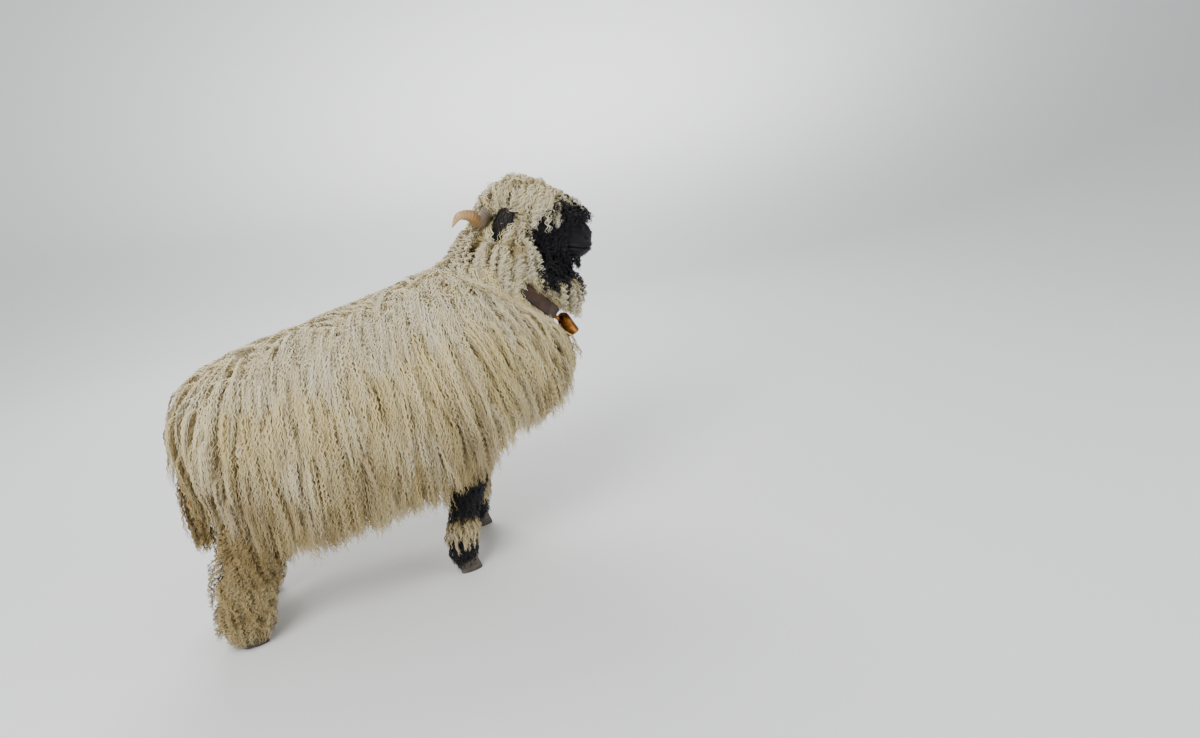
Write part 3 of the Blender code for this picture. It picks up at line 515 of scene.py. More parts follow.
class Nodes:
    """A material's node tree with one call that adds, sets and links a node."""

    def __init__(self, name: str) -> None:
        """Start an empty material.

        Args:
            name: The finish's name.
        """
        self.material = bpy.data.materials.new(name)
        self.material.use_nodes = True
        self.tree = self.material.node_tree
        self.shader = self.tree.nodes["Principled BSDF"]
        self.place = self.add("TexCoord").outputs["Object"]

    def add(self, kind: str, settings: dict | None = None, stops: tuple = (), **links: object) -> Node:
        """Add a node with its settings and inputs.

        Args:
            kind: The shader node's type name, without the words before it.
            settings: Properties to set on the node.
            stops: Places and hex colours, for a node with a colour ramp.
            **links: Input names, with underscores for spaces, or in_N for an index, each with a value
                or an output socket.

        Returns:
            The new node.
        """
        node = self.tree.nodes.new("ShaderNode" + kind)
        for key, value in (settings or {}).items():
            setattr(node, key, value)
        for number, (place, code) in enumerate(stops):
            elements = node.color_ramp.elements
            element = elements[number] if number < len(elements) else elements.new(1.0)
            element.position, element.color = place, linear(code)
        for key, value in links.items():
            self.fill(node.inputs[int(key[3:])] if key.startswith("in_") else node.inputs[key.replace("_", " ")],
                      value)
        return node

    def fill(self, socket: NodeSocket, value: object) -> None:
        """Link an output to a socket, or set its number or colour.

        Args:
            socket: The input.
            value: The output, number or colour.
        """
        if isinstance(value, NodeSocket):
            self.tree.links.new(value, socket)
        else:
            socket.default_value = value

    def finish(self, **values: object) -> Material:
        """Set or link the shader's own sockets by name, with underscores for spaces, and return the material.

        Args:
            **values: The shader's inputs.

        Returns:
            The material.
        """
        for key, value in values.items():
            self.fill(self.shader.inputs[key.replace("_", " ")], value)
        return self.material


@dataclass(frozen=True)
class GreasyWool:
    """Unwashed long wool, as shorn off the sheep.

    Its grease and dust make it dull and cream at the tips. Near the skin it turns tan, a grease tint mixed with
    painted shade of the deeper coat, and the black wool is painted darker there too. The face and feet carry
    black wool, which is finer and glints a little.
    """

    pale: str = "ecdfb0"
    cream: str = "decb92"
    straw: str = "c6ae73"
    grey: str = "e2dcc8"
    # Tan near the skin: a grease tint mixed with painted shade of the deeper coat.
    root: str = "987c4a"
    # The brown that the lower body and the rump are mixed towards: partly grime, partly painted shade.
    stain: str = "8d7448"
    # Black near the root and black_tip further out: the darker root is painted shade.
    black: str = "0a090c"
    black_tip: str = "161419"
    fibre_mm: float = 1.1

    def make(self) -> Material:
        """Build the finish from the wool attribute: tip, which sets the painted shade near the skin, shade,
        black, and a fourth value for grime and painted shade low on the body.

        Returns:
            The finish.
        """
        nodes = Nodes("greasy_wool")
        mark = nodes.add("Attribute", {"attribute_name": "wool"})
        tip, shade, black = nodes.add("SeparateColor", Color=mark.outputs["Color"]).outputs
        white = nodes.add("ValToRGB", stops=((0.0, self.straw), (1.0, self.grey), (0.35, self.cream),
                                             (0.7, self.pale)), Fac=shade)
        # Painted shade: near the root the colour is mixed towards the tan root colour, for the shade deep in the
        # coat.
        near_root = nodes.add("MapRange", Value=tip, To_Min=0.75, To_Max=0.0)
        rooted = nodes.add("Mix", COLOURS, in_0=near_root.outputs[0], in_6=white.outputs[0], in_7=linear(self.root))
        # Painted shade and grime: the fourth value mixes in the brown low on the body and on the rump.
        darkening = nodes.add("MapRange", Value=mark.outputs["Alpha"], To_Max=0.88)
        stained_and_shaded = nodes.add("Mix", COLOURS, in_0=darkening.outputs[0], in_6=rooted.outputs[2], in_7=linear(self.stain))
        # Painted shade: the black wool is darker near the root.
        dark = nodes.add("Mix", COLOURS, in_0=tip, in_6=linear(self.black), in_7=linear(self.black_tip))
        coat = nodes.add("Mix", COLOURS, in_0=black, in_6=stained_and_shaded.outputs[2], in_7=dark.outputs[2])
        rough = nodes.add("MapRange", Value=black, To_Min=0.78, To_Max=0.48)
        fibre = nodes.add("TexNoise", Vector=nodes.place, Scale=1000 / self.fibre_mm, Detail=2.0)
        bump = nodes.add("Bump", Height=fibre.outputs[0], Distance=0.0006, Strength=0.5)
        return nodes.finish(Base_Color=coat.outputs[2], Roughness=rough.outputs[0], Normal=bump.outputs[0],
                            Sheen_Weight=0.04, Sheen_Roughness=0.5, Specular_IOR_Level=0.25)


@dataclass(frozen=True)
class RidgedHorn:
    """Ram's horn, grown in rings and never polished.

    It is grey and dull where it leaves the head, waxy amber in the middle and paler at the worn tip, and
    darker in its grooves.
    """

    amber: str = "b58447"
    tan: str = "cda36a"
    pale: str = "dcbb86"
    grey: str = "8d8376"
    dark: str = "5f4326"
    streak_mm: float = 17.0
    grain_mm: float = 2.6

    def make(self) -> Material:
        """Build the finish, which reads the share from root to tip and the grooves from the growth attribute.

        Returns:
            The finish.
        """
        nodes = Nodes("ridged_horn")
        mark = nodes.add("Attribute", {"attribute_name": "growth"})
        along, groove, _ = nodes.add("SeparateColor", Color=mark.outputs["Color"]).outputs
        shaft = nodes.add("ValToRGB", stops=((0.0, self.grey), (1.0, self.pale), (0.50, self.grey),
                                             (0.62, self.amber), (0.85, self.tan)), Fac=along)
        streak = nodes.add("TexNoise", Vector=nodes.place, Scale=1000 / self.streak_mm, Detail=4.0)
        streaked = nodes.add("MapRange", Value=streak.outputs[0], To_Max=0.35)
        mottled = nodes.add("Mix", COLOURS, in_0=streaked.outputs[0], in_6=shaft.outputs[0], in_7=linear(self.dark))
        darkening = nodes.add("MapRange", Value=groove, To_Max=0.6)
        ringed = nodes.add("Mix", COLOURS, in_0=darkening.outputs[0], in_6=mottled.outputs[2], in_7=linear(self.dark))
        grain = nodes.add("TexNoise", Vector=nodes.place, Scale=1000 / self.grain_mm, Detail=4.0)
        bump = nodes.add("Bump", Height=grain.outputs[0], Distance=0.0006, Strength=0.6)
        return nodes.finish(Base_Color=ringed.outputs[2], Normal=bump.outputs[0], Roughness=0.42,
                            Coat_Weight=0.15, Coat_Roughness=0.35, IOR=1.54)


@dataclass(frozen=True)
class SheepEye:
    """A wet eye, brown round a level slot of a pupil, under a clear bulge that gives one sharp highlight."""

    iris: str = "6b431c"
    rim: str = "1c120b"
    pupil: str = "050406"
    white: str = "4a3a30"
    fleck_mm: float = 1.4

    def make(self) -> Material:
        """Build the finish from the look attribute: distance from the centre, and inside the pupil.

        Returns:
            The finish.
        """
        nodes = Nodes("sheep_eye")
        mark = nodes.add("Attribute", {"attribute_name": "look"})
        distance, pupil, _ = nodes.add("SeparateColor", Color=mark.outputs["Color"]).outputs
        ring = nodes.add("ValToRGB", stops=((0.0, self.iris), (1.0, self.rim), (0.42, self.iris),
                                            (0.56, self.rim), (0.62, self.white)), Fac=distance)
        fleck = nodes.add("TexNoise", Vector=nodes.place, Scale=1000 / self.fleck_mm, Detail=3.0)
        half = nodes.add("MapRange", Value=fleck.outputs[0], To_Max=0.5)
        flecked = nodes.add("Mix", COLOURS, in_0=half.outputs[0], in_6=ring.outputs[0], in_7=linear(self.rim))
        whole = nodes.add("Mix", COLOURS, in_0=pupil, in_6=flecked.outputs[2], in_7=linear(self.pupil))
        return nodes.finish(Base_Color=whole.outputs[2], Roughness=0.08, IOR=1.376, Coat_Weight=1.0,
                            Coat_Roughness=0.03)


@dataclass(frozen=True)
class HoofHorn:
    """Claw horn, worn by walking: dark and satin, with growth lines round the wall and chalky scuffs."""

    dark: str = "2b2622"
    worn: str = "6a5e4e"
    line_mm: float = 11.0

    def make(self) -> Material:
        """Build the finish.

        Returns:
            The finish.
        """
        nodes = Nodes("hoof_horn")
        level = nodes.add("Mapping", Vector=nodes.place, Scale=(0.4, 0.4, 3.0))
        lines = nodes.add("TexNoise", Vector=level.outputs[0], Scale=1000 / self.line_mm, Detail=4.0)
        wall = nodes.add("ValToRGB", stops=((0.35, self.dark), (0.8, self.worn)), Fac=lines.outputs[0])
        bump = nodes.add("Bump", Height=lines.outputs[0], Distance=0.0008, Strength=0.8)
        return nodes.finish(Base_Color=wall.outputs[0], Normal=bump.outputs[0], Roughness=0.5, IOR=1.54)


@dataclass(frozen=True)
class StrapLeather:
    """Vegetable-tanned strap leather, greased and worn: nearly black in its pores, paler where it rubs."""

    deep: str = "140b07"
    brown: str = "2a180e"
    worn: str = "5a3a20"
    patch_mm: float = 36.0
    pore_mm: float = 1.9

    def make(self) -> Material:
        """Build the finish.

        Returns:
            The finish.
        """
        nodes = Nodes("strap_leather")
        patch = nodes.add("TexNoise", Vector=nodes.place, Scale=1000 / self.patch_mm, Detail=5.0)
        face = nodes.add("ValToRGB", stops=((0.3, self.deep), (0.85, self.worn), (0.55, self.brown)),
                         Fac=patch.outputs[0])
        pore = nodes.add("TexNoise", Vector=nodes.place, Scale=1000 / self.pore_mm, Detail=3.0)
        bump = nodes.add("Bump", Height=pore.outputs[0], Distance=0.0005, Strength=0.8)
        return nodes.finish(Base_Color=face.outputs[0], Normal=bump.outputs[0], Roughness=0.55,
                            Specular_IOR_Level=0.4)


@dataclass(frozen=True)
class TarnishedBronze:
    """Cast bell bronze: orange-brown and smoother where it rubs, dull dark brown in the hollows."""

    bright: str = "c98442"
    brown: str = "7a4a22"
    dark: str = "3c2514"
    patina_mm: float = 14.0
    cast_mm: float = 4.2

    def make(self) -> Material:
        """Build the finish.

        Returns:
            The finish.
        """
        nodes = Nodes("tarnished_bronze")
        patina = nodes.add("TexNoise", Vector=nodes.place, Scale=1000 / self.patina_mm, Detail=5.0)
        tint = nodes.add("ValToRGB", stops=((0.25, self.dark), (0.8, self.bright), (0.5, self.brown)),
                         Fac=patina.outputs[0])
        cast = nodes.add("TexNoise", Vector=nodes.place, Scale=1000 / self.cast_mm, Detail=4.0)
        bump = nodes.add("Bump", Height=cast.outputs[0], Distance=0.0005, Strength=0.5)
        return nodes.finish(Base_Color=tint.outputs[0], Normal=bump.outputs[0], Metallic=1.0, Roughness=0.38)


@dataclass(frozen=True)
class StudioPaper:
    """Seamless matte paper for the floor and the backdrop, without any shine."""

    tone: str = "ecedec"

    def make(self) -> Material:
        """Build the finish."""
        return Nodes("studio_paper").finish(Base_Color=linear(self.tone), Roughness=0.9, Specular_IOR_Level=0.2)


@dataclass
class Surface:
    """A closed surface that wool grows from or lies over."""

    points: Array
    normals: Array
    corners: Array
    tree: BVHTree

    @classmethod
    def of(cls, mesh: Mesh) -> "Surface":
        """Read a mesh's points, normals and triangles.

        Args:
            mesh: A closed mesh.

        Returns:
            Its surface.
        """
        mesh.calc_loop_triangles()
        corners = np.empty(len(mesh.loop_triangles) * 3, dtype=np.int32)
        mesh.loop_triangles.foreach_get("vertices", corners)
        points = np.empty(len(mesh.vertices) * 3)
        normals = np.empty(len(mesh.vertices) * 3)
        mesh.vertices.foreach_get("co", points)
        mesh.vertices.foreach_get("normal", normals)
        points, normals = points.reshape(-1, 3), normals.reshape(-1, 3)
        corners = corners.reshape(-1, 3)
        return cls(points, normals, corners, BVHTree.FromPolygons(points.tolist(), corners.tolist()))


@dataclass
class Hide:
    """The one skin over trunk, neck, head, legs and tail, and what each place on it carries."""

    plan: SheepPlan
    wool: Material
    voxel: float = 0.0085
    trunk_grid: tuple = (40, 48)
    limb_grid: tuple = (28, 36)
    horn_grid: tuple = (14, 16)
    covered_horn: float = 0.50
    skin_rounds: int = 4
    guide_rounds: int = 8
    trees: list[tuple[Region, BVHTree]] = field(default_factory=list)
    skin: Surface | None = None
    guide: Surface | None = None
    maps: Array | None = None

    def build(self) -> Object:
        """Melt the forms together, sharpen the face, and write the markings.

        Returns:
            The skin.
        """
        forms = self.plan.flesh()
        shells = []
        for name, (region, form) in forms.items():
            shells.append(form.shell(*(self.trunk_grid if name == "torso" else self.limb_grid)))
            self.trees.append((region, BVHTree.FromBMesh(shells[-1])))
        horns = [self.plan.horn_form(side, self.covered_horn).shell(*self.horn_grid) for side in Side]
        body = self.melt("skin", shells, self.skin_rounds)
        over = self.melt("guide", shells + horns, self.guide_rounds)
        self.tuck(over.data)
        self.guide = Surface.of(over.data)
        spare = over.data
        bpy.data.objects.remove(over)
        bpy.data.meshes.remove(spare)
        for shell in shells + horns:
            shell.free()
        self.sharpen(body)
        self.tuck(body.data)
        self.unwrap(body)
        self.skin = Surface.of(body.data)
        self.write_wool(body.data)
        return settle(body, "fleece", *forms)

    def melt(self, name: str, shells: list[BMesh], rounds: int) -> Object:
        """Melt shells into one closed surface with soft joins.

        Args:
            name: The new piece's name.
            shells: The closed shells.
            rounds: How often the joins are relaxed.

        Returns:
            The melted piece.
        """
        joined = bmesh.new()
        for shell in shells:
            part = bpy.data.meshes.new("part")
            shell.to_mesh(part)
            joined.from_mesh(part)
            bpy.data.meshes.remove(part)
        body = finish_mesh(name, joined, self.wool)
        melt = body.modifiers.new("melt", "REMESH")
        melt.mode = "VOXEL"
        melt.voxel_size = self.voxel
        relax = body.modifiers.new("relax", "SMOOTH")
        relax.factor, relax.iterations = 0.5, rounds
        graph = bpy.context.evaluated_depsgraph_get()
        melted = bpy.data.meshes.new_from_object(body.evaluated_get(graph))
        body.modifiers.clear()
        old = body.data
        body.data = melted
        bpy.data.meshes.remove(old)
        melted.shade_smooth()
        return body

    def tuck(self, mesh: Mesh) -> None:
        """Press the neck in behind each hanging ear, so that the ear lies free of it.

        Args:
            mesh: The skin or the guide.
        """
        move = self.plan.head_move()
        back = move.inverted()
        for vert in mesh.vertices:
            x, y, z = back @ vert.co
            if abs(y) < 0.22 and -0.04 < z < 0.12:
                ear_x, ear_y = self.plan.ear_line(z)
                extra = abs(y) - (ear_y - 0.016)
                if extra > 0:
                    inside = (1 - smooth(0.034, 0.052, abs(x - ear_x))) * smooth(-0.030, 0.0, z)
                    vert.co = move @ Vector((x, math.copysign(abs(y) - extra * float(inside), y), z))
        mesh.update()

    def sharpen(self, body: Object) -> None:
        """Give the face finer faces, and press in its mouth, nostrils and folds.

        Args:
            body: The skin.
        """
        back = self.plan.head_move().inverted()
        bm = bmesh.new()
        bm.from_mesh(body.data)
        for reach in (-0.170, -0.090, -0.075):
            edges = [e for e in bm.edges if (back @ ((e.verts[0].co + e.verts[1].co) / 2)).x > reach
                     and (back @ e.verts[0].co).z > -0.075 and abs((back @ e.verts[0].co).y) < 0.08]
            bmesh.ops.subdivide_edges(bm, edges=edges, cuts=1, use_grid_fill=True, smooth=0.6)
        face = [v for v in bm.verts if (back @ v.co).x > -0.080]
        for _ in range(3):
            bmesh.ops.smooth_vert(bm, verts=face, factor=0.5, use_axis_x=True, use_axis_y=True, use_axis_z=True)
        bm.normal_update()
        moves = []
        for vert in bm.verts:
            x, y, z = back @ vert.co
            if x > -0.16:
                moves.append((vert, vert.normal * self.muzzle_lift(x, abs(y), z)))
        for vert, move in moves:
            vert.co += move
        bm.to_mesh(body.data)
        bm.free()

    def muzzle_lift(self, x: float, y: float, z: float) -> float:
        """Return how far the face's skin stands out at a place in the head's own frame.

        Args:
            x: Forwards from the nose's root.
            y: How far from the middle.
            z: Upwards from the mouth.

        Returns:
            The height, less than zero in a hollow.
        """
        mouth = 1.0 if x > -0.06 else max(0.0, 1 - (-0.06 - x) / 0.012)
        groove = -0.0055 * math.exp(-(z / 0.0020) ** 2) * mouth
        lips = 0.0026 * math.exp(-((abs(z) - 0.0065) / 0.0038) ** 2) * mouth
        along = (x + 0.008) * 0.82 - (z - 0.031) * 0.57
        across = (x + 0.008) * 0.57 + (z - 0.031) * 0.82
        side = math.exp(-((y - 0.019) / 0.012) ** 2)
        nostril = -0.0085 * math.exp(-(along / 0.0095) ** 2 - (across / 0.0030) ** 2) * side
        wing = 0.0034 * math.exp(-(along / 0.012) ** 2 - ((across - 0.0065) / 0.0040) ** 2) * side
        cleft = -0.0018 * math.exp(-(y / 0.0020) ** 2) * (1.0 if 0.004 < z < 0.034 and x > -0.03 else 0.0)
        chin = 0.0030 * math.exp(-((x + 0.026) / 0.014) ** 2 - ((z + 0.026) / 0.012) ** 2)
        eye = math.hypot(x - self.plan.eye_place.x, z - self.plan.eye_place.z)
        socket = (0.0030 * math.exp(-((eye - 0.026) / 0.007) ** 2) - 0.0040 * math.exp(-(eye / 0.014) ** 2))
        socket *= 1.0 if y > 0.03 else 0.0
        folds = 0.0007 * math.sin(x * 520) * math.exp(-((z - 0.070) / 0.018) ** 2) if x > -0.06 else 0.0
        return groove + lips + nostril + wing + cleft + chin + socket + folds

    def unwrap(self, body: Object) -> None:
        """Unwrap the skin's own shape, and keep where each triangle lies on the map.

        Args:
            body: The skin.
        """
        layer = body.data.uv_layers.new(name="OFBake")
        bpy.context.view_layer.objects.active = body
        body.select_set(True)
        bpy.ops.object.mode_set(mode="EDIT")
        bpy.ops.mesh.select_all(action="SELECT")
        bpy.ops.uv.smart_project(angle_limit=math.radians(66), island_margin=0.002)
        bpy.ops.object.mode_set(mode="OBJECT")
        body.select_set(False)
        layer = body.data.uv_layers["OFBake"]
        spots = np.empty(len(body.data.loops) * 2)
        layer.data.foreach_get("uv", spots)
        body.data.calc_loop_triangles()
        loops = np.empty(len(body.data.loop_triangles) * 3, dtype=np.int32)
        body.data.loop_triangles.foreach_get("loops", loops)
        self.maps = spots.reshape(-1, 2)[loops.reshape(-1, 3)].mean(axis=1)

    def in_head(self, points: Array) -> Array:
        """Return points in the head's own frame."""
        back = np.array(self.plan.head_move().inverted())
        return points @ back[:3, :3].T + back[:3, 3]

    def blackness(self, points: Array) -> Array:
        """Return how black the coat is: the face, the feet and the knees, with ragged borders.

        Args:
            points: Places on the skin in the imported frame.

        Returns:
            Zero for white wool to one for black.
        """
        local = self.in_head(points)
        ragged = 0.009 * np.sin(points[:, 0] * 310 + points[:, 2] * 170) + 0.006 * np.sin(points[:, 1] * 420)
        x, y, z = local[:, 0] + ragged, local[:, 1], local[:, 2] + ragged * 0.6
        near = (np.abs(y) < 0.14) & (x > -0.30) & (x < 0.03) & (z > -0.092) & (z < 0.20)
        border = np.where(z > 0.108, -0.085, -0.158 - 0.014 * smooth(0.0, 0.04, z))
        face = smooth(-0.008, 0.008, x - border) * near
        eye = np.hypot(local[:, 0] - self.plan.eye_place.x, z - self.plan.eye_place.z)
        face = np.maximum(face, (1 - smooth(0.034, 0.046, eye)) * near * (np.abs(y) > 0.03))
        front = (points[:, 0] - self.plan.shift.x > 0.10) & (points[:, 2] < 0.30)
        height = points[:, 2] + ragged * 0.6
        cuff = smooth(0.106, 0.114, height) * (1 - smooth(0.164, 0.174, height))
        leg = np.where(front, 1.0 - cuff, 0.85 * (1 - smooth(0.044, 0.056, height)))
        low = points[:, 2] < 0.30
        return np.clip(np.where(low, leg, face), 0.0, 1.0)

    def dirt(self, points: Array) -> Array:
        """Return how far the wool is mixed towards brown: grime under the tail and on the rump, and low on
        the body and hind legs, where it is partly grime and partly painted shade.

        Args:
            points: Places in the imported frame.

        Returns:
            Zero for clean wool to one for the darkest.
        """
        x = points[:, 0] - self.plan.shift.x
        z = points[:, 2]
        # Darker towards the bottom of the body: partly grime, partly painted shade for the lower parts that get less
        # light.
        belly = 1.05 * (1 - smooth(0.26, 0.74, z)) * (0.35 + 0.65 * smooth(0.10, 0.32, z))
        rear = 0.30 * (1 - smooth(-0.46, -0.34, x)) * (1 - smooth(0.45, 0.66, z))
        clouds = 0.5 + 0.5 * np.sin(x * 23 + z * 11) * np.sin(points[:, 1] * 19 + z * 17)
        return np.clip(0.04 + belly * (0.45 + 0.9 * clouds) + rear + 0.14 * clouds, 0.0, 1.0)

    def write_wool(self, mesh: Mesh) -> None:
        """Write tip, shade, black and the grime-and-shade value for each vertex of the skin.

        Args:
            mesh: The skin's mesh.
        """
        points = self.skin.points
        # Painted shade: the skin takes the tan root colour on its sides and underside, and less of it where it faces
        # up.
        tip = 0.45 + 0.4 * smooth(0.5, 0.9, self.skin.normals[:, 2])
        shade = np.full(len(points), 0.4)
        paint(mesh, "wool", np.stack([tip, shade, self.blackness(points), self.dirt(points)], axis=1))

    def region_of(self, point: Vector) -> Region:
        """Return the region whose form lies nearest to a point."""
        return min(self.trees, key=lambda entry: entry[1].find_nearest(point)[3])[0]


@dataclass
class Roots:
    """Places where tufts leave the skin, with the skin's direction, region and place on its map."""

    places: Array
    normals: Array
    regions: Array
    maps: Array

    def where(self, keep: Array) -> "Roots":
        """Return only the roots that a mask keeps."""
        return Roots(self.places[keep], self.normals[keep], self.regions[keep], self.maps[keep])

    def on(self, *regions: Region) -> "Roots":
        """Return only the roots in some regions."""
        return self.where(np.isin(self.regions, [region.value for region in regions]))


@dataclass
class RootSower:
    """Scatters roots evenly over a surface, each with its place on the skin's map."""

    hide: Hide
    surface: Surface
    rng: np.random.Generator
    crowding: float = 0.86

    def __post_init__(self) -> None:
        """Work out the triangles' middles and areas once."""
        edges = self.surface.points[self.surface.corners]
        self.middles = edges.mean(axis=1)
        self.areas = np.linalg.norm(np.cross(edges[:, 1] - edges[:, 0], edges[:, 2] - edges[:, 0]), axis=1) / 2

    def sow(self, spacing: float, mask: Array) -> Roots:
        """Scatter roots that keep their distance from each other.

        Args:
            spacing: The usual distance between neighbours.
            mask: Which triangles carry roots.

        Returns:
            The roots.
        """
        areas = np.where(mask, self.areas, 0.0)
        number = int(areas.sum() / spacing ** 2 * 7)
        pick = self.rng.choice(len(areas), size=number, p=areas / areas.sum())
        share = self.rng.random((number, 2))
        flip = share.sum(axis=1) > 1
        share[flip] = 1 - share[flip]
        weights = np.stack([1 - share.sum(axis=1), share[:, 0], share[:, 1]], axis=1)[:, :, None]
        places = (self.surface.points[self.surface.corners[pick]] * weights).sum(axis=1)
        keep = self.spread(places, spacing * self.crowding)
        places = places[keep]
        normals = unit((self.surface.normals[self.surface.corners[pick[keep]]] * weights[keep]).sum(axis=1))
        faces = [self.hide.skin.tree.find_nearest(place)[2] for place in places]
        regions = np.array([self.hide.region_of(Vector(place)).value for place in places])
        return Roots(places, normals, regions, self.hide.maps[faces])

    @staticmethod
    def spread(places: Array, distance: float) -> Array:
        """Keep places in order of their making, each at least a distance from those kept before.

        Args:
            places: Places, one in each row.
            distance: The least distance.

        Returns:
            The numbers of those kept.
        """
        cells: dict[tuple[int, int, int], list[int]] = {}
        grid = np.floor(places / distance).astype(int)
        offsets = [(a, b, c) for a in (-1, 0, 1) for b in (-1, 0, 1) for c in (-1, 0, 1)]
        kept = []
        points = places.tolist()
        for index, (a, b, c) in enumerate(grid.tolist()):
            x, y, z = points[index]
            crowded = False
            for da, db, dc in offsets:
                for other in cells.get((a + da, b + db, c + dc), ()):
                    u, v, w = points[other]
                    if (x - u) ** 2 + (y - v) ** 2 + (z - w) ** 2 < distance ** 2:
                        crowded = True
                        break
                if crowded:
                    break
            if not crowded:
                cells.setdefault((a, b, c), []).append(index)
                kept.append(index)
        return np.array(kept)


@dataclass(frozen=True)
class Wool:
    """How one kind of wool grows: its staples, strands, waves, colour and how it leaves the skin."""

    name: str
    slot: str = "fleece"
    spacing: float = 0.0072
    length: float = 0.060
    spread: float = 0.2
    depth: float = 0.030
    strands: int = 7
    rings: int = 24
    lock_width: float = 0.019
    strand_width: float = 0.0040
    wave: float = 0.026
    wave_height: float = 0.0034
    coil: float = 0.5
    gather: float = 0.72
    stray: float = 0.008
    shade: float = 0.5
    shade_spread: float = 0.08
    hang: float = -0.25
    settle: float = 0.30
    loose: float = 0.09


@dataclass(frozen=True)
class Coat:
    """The kinds of wool that the sheep wears."""

    trunk: Wool = Wool("fleece", spacing=0.0240, length=0.160, spread=0.18, strands=9, rings=20, lock_width=0.028,
                       strand_width=0.0030, wave=0.022, wave_height=0.0031, coil=0.55, gather=0.40,
                       settle=0.26, loose=0.17)
    undercoat: Wool = Wool("undercoat", spacing=0.0145, length=0.066, spread=0.25, strands=5, rings=14,
                           lock_width=0.022, strand_width=0.0032, wave=0.020, wave_height=0.0036, coil=0.7,
                           gather=0.25, stray=0.006, shade=0.60, settle=0.35)
    ruff: Wool = Wool("ruff", spacing=0.0165, length=0.088, spread=0.22, lock_width=0.015, strand_width=0.0026,
                      wave=0.020, wave_height=0.0062, coil=0.95, stray=0.005, gather=0.50, shade=0.92,
                      shade_spread=0.12, hang=-0.45)
    hind: Wool = Wool("hind_wool", spacing=0.0130, length=0.066, depth=0.035, rings=17, lock_width=0.017,
                      strand_width=0.0026, wave=0.018, wave_height=0.0044, coil=0.9, shade=0.42,
                      shade_spread=0.12, gather=0.40, hang=-0.5, loose=0.15)
    front: Wool = Wool("front_wool", "black_wool", spacing=0.0092, length=0.028, depth=0.010, strands=4, rings=9,
                       lock_width=0.010, strand_width=0.0028, wave=0.019, wave_height=0.0020, coil=0.6,
                       stray=0.004, shade=0.6)
    tail: Wool = Wool("tail_wool", spacing=0.0160, length=0.105, depth=0.024, rings=20, strand_width=0.0030,
                      shade=0.40, gather=0.45, loose=0.14)
    topknot: Wool = Wool("topknot", length=0.098, spread=0.22, depth=0.032, strands=6, rings=26,
                         lock_width=0.015, strand_width=0.0032, wave=0.034, wave_height=0.0045, coil=0.8,
                         stray=0.007, shade=0.74, shade_spread=0.14, gather=0.65, hang=-0.4)
    fringe: Wool = Wool("fringe", length=0.062, spread=0.30, depth=0.026, strands=5, rings=28, lock_width=0.012,
                        strand_width=0.0028, wave=0.024, wave_height=0.0055, coil=0.95, stray=0.005,
                        shade=0.95, gather=0.55, hang=-0.4)
    brow: Wool = Wool("brow_curls", "black_wool", length=0.056, spread=0.30, depth=0.034, strands=5, rings=22,
                      lock_width=0.010, strand_width=0.0024, wave=0.017, wave_height=0.0040, coil=0.95,
                      stray=0.004, shade=0.9, gather=0.5, hang=-0.3)
    cheek: Wool = Wool("face_curls", "black_wool", length=0.032, spread=0.28, depth=0.013, strands=5, rings=18,
                       lock_width=0.010, strand_width=0.0024, wave=0.015, wave_height=0.0036, coil=0.95,
                       stray=0.003, shade=0.8, gather=0.5, hang=-0.3)
    face: Wool = Wool("face_hair", "black_wool", length=0.018, spread=0.25, depth=0.0055, strands=3, rings=5,
                      lock_width=0.0055, strand_width=0.0016, wave=0.018, wave_height=0.0006, coil=0.4,
                      stray=0.0012, shade=0.6, hang=-2.0)
    ear: Wool = Wool("ear_hair", "black_wool", spacing=0.0056, length=0.016, spread=0.3, depth=0.0030, strands=3,
                     rings=6, lock_width=0.005, strand_width=0.0017, wave=0.016, wave_height=0.0010, coil=0.5,
                     stray=0.0015, shade=0.4, hang=-2.0)


@dataclass
class Staples:
    """Staples of wool led over the skin, each a row of points, with what each one carries."""

    paths: Array
    sides: Array
    outs: Array
    lengths: Array
    maps: Array
    black: Array
    shade: Array
    # Grime mixed with painted shade low on the body.
    stain: Array
    # How much of the painted shade near the root each staple skips.
    fresh: Array

    def where(self, keep: Array) -> "Staples":
        """Return only the staples that a mask or a row of numbers picks."""
        return Staples(*(getattr(self, part.name)[keep] for part in fields(self)))


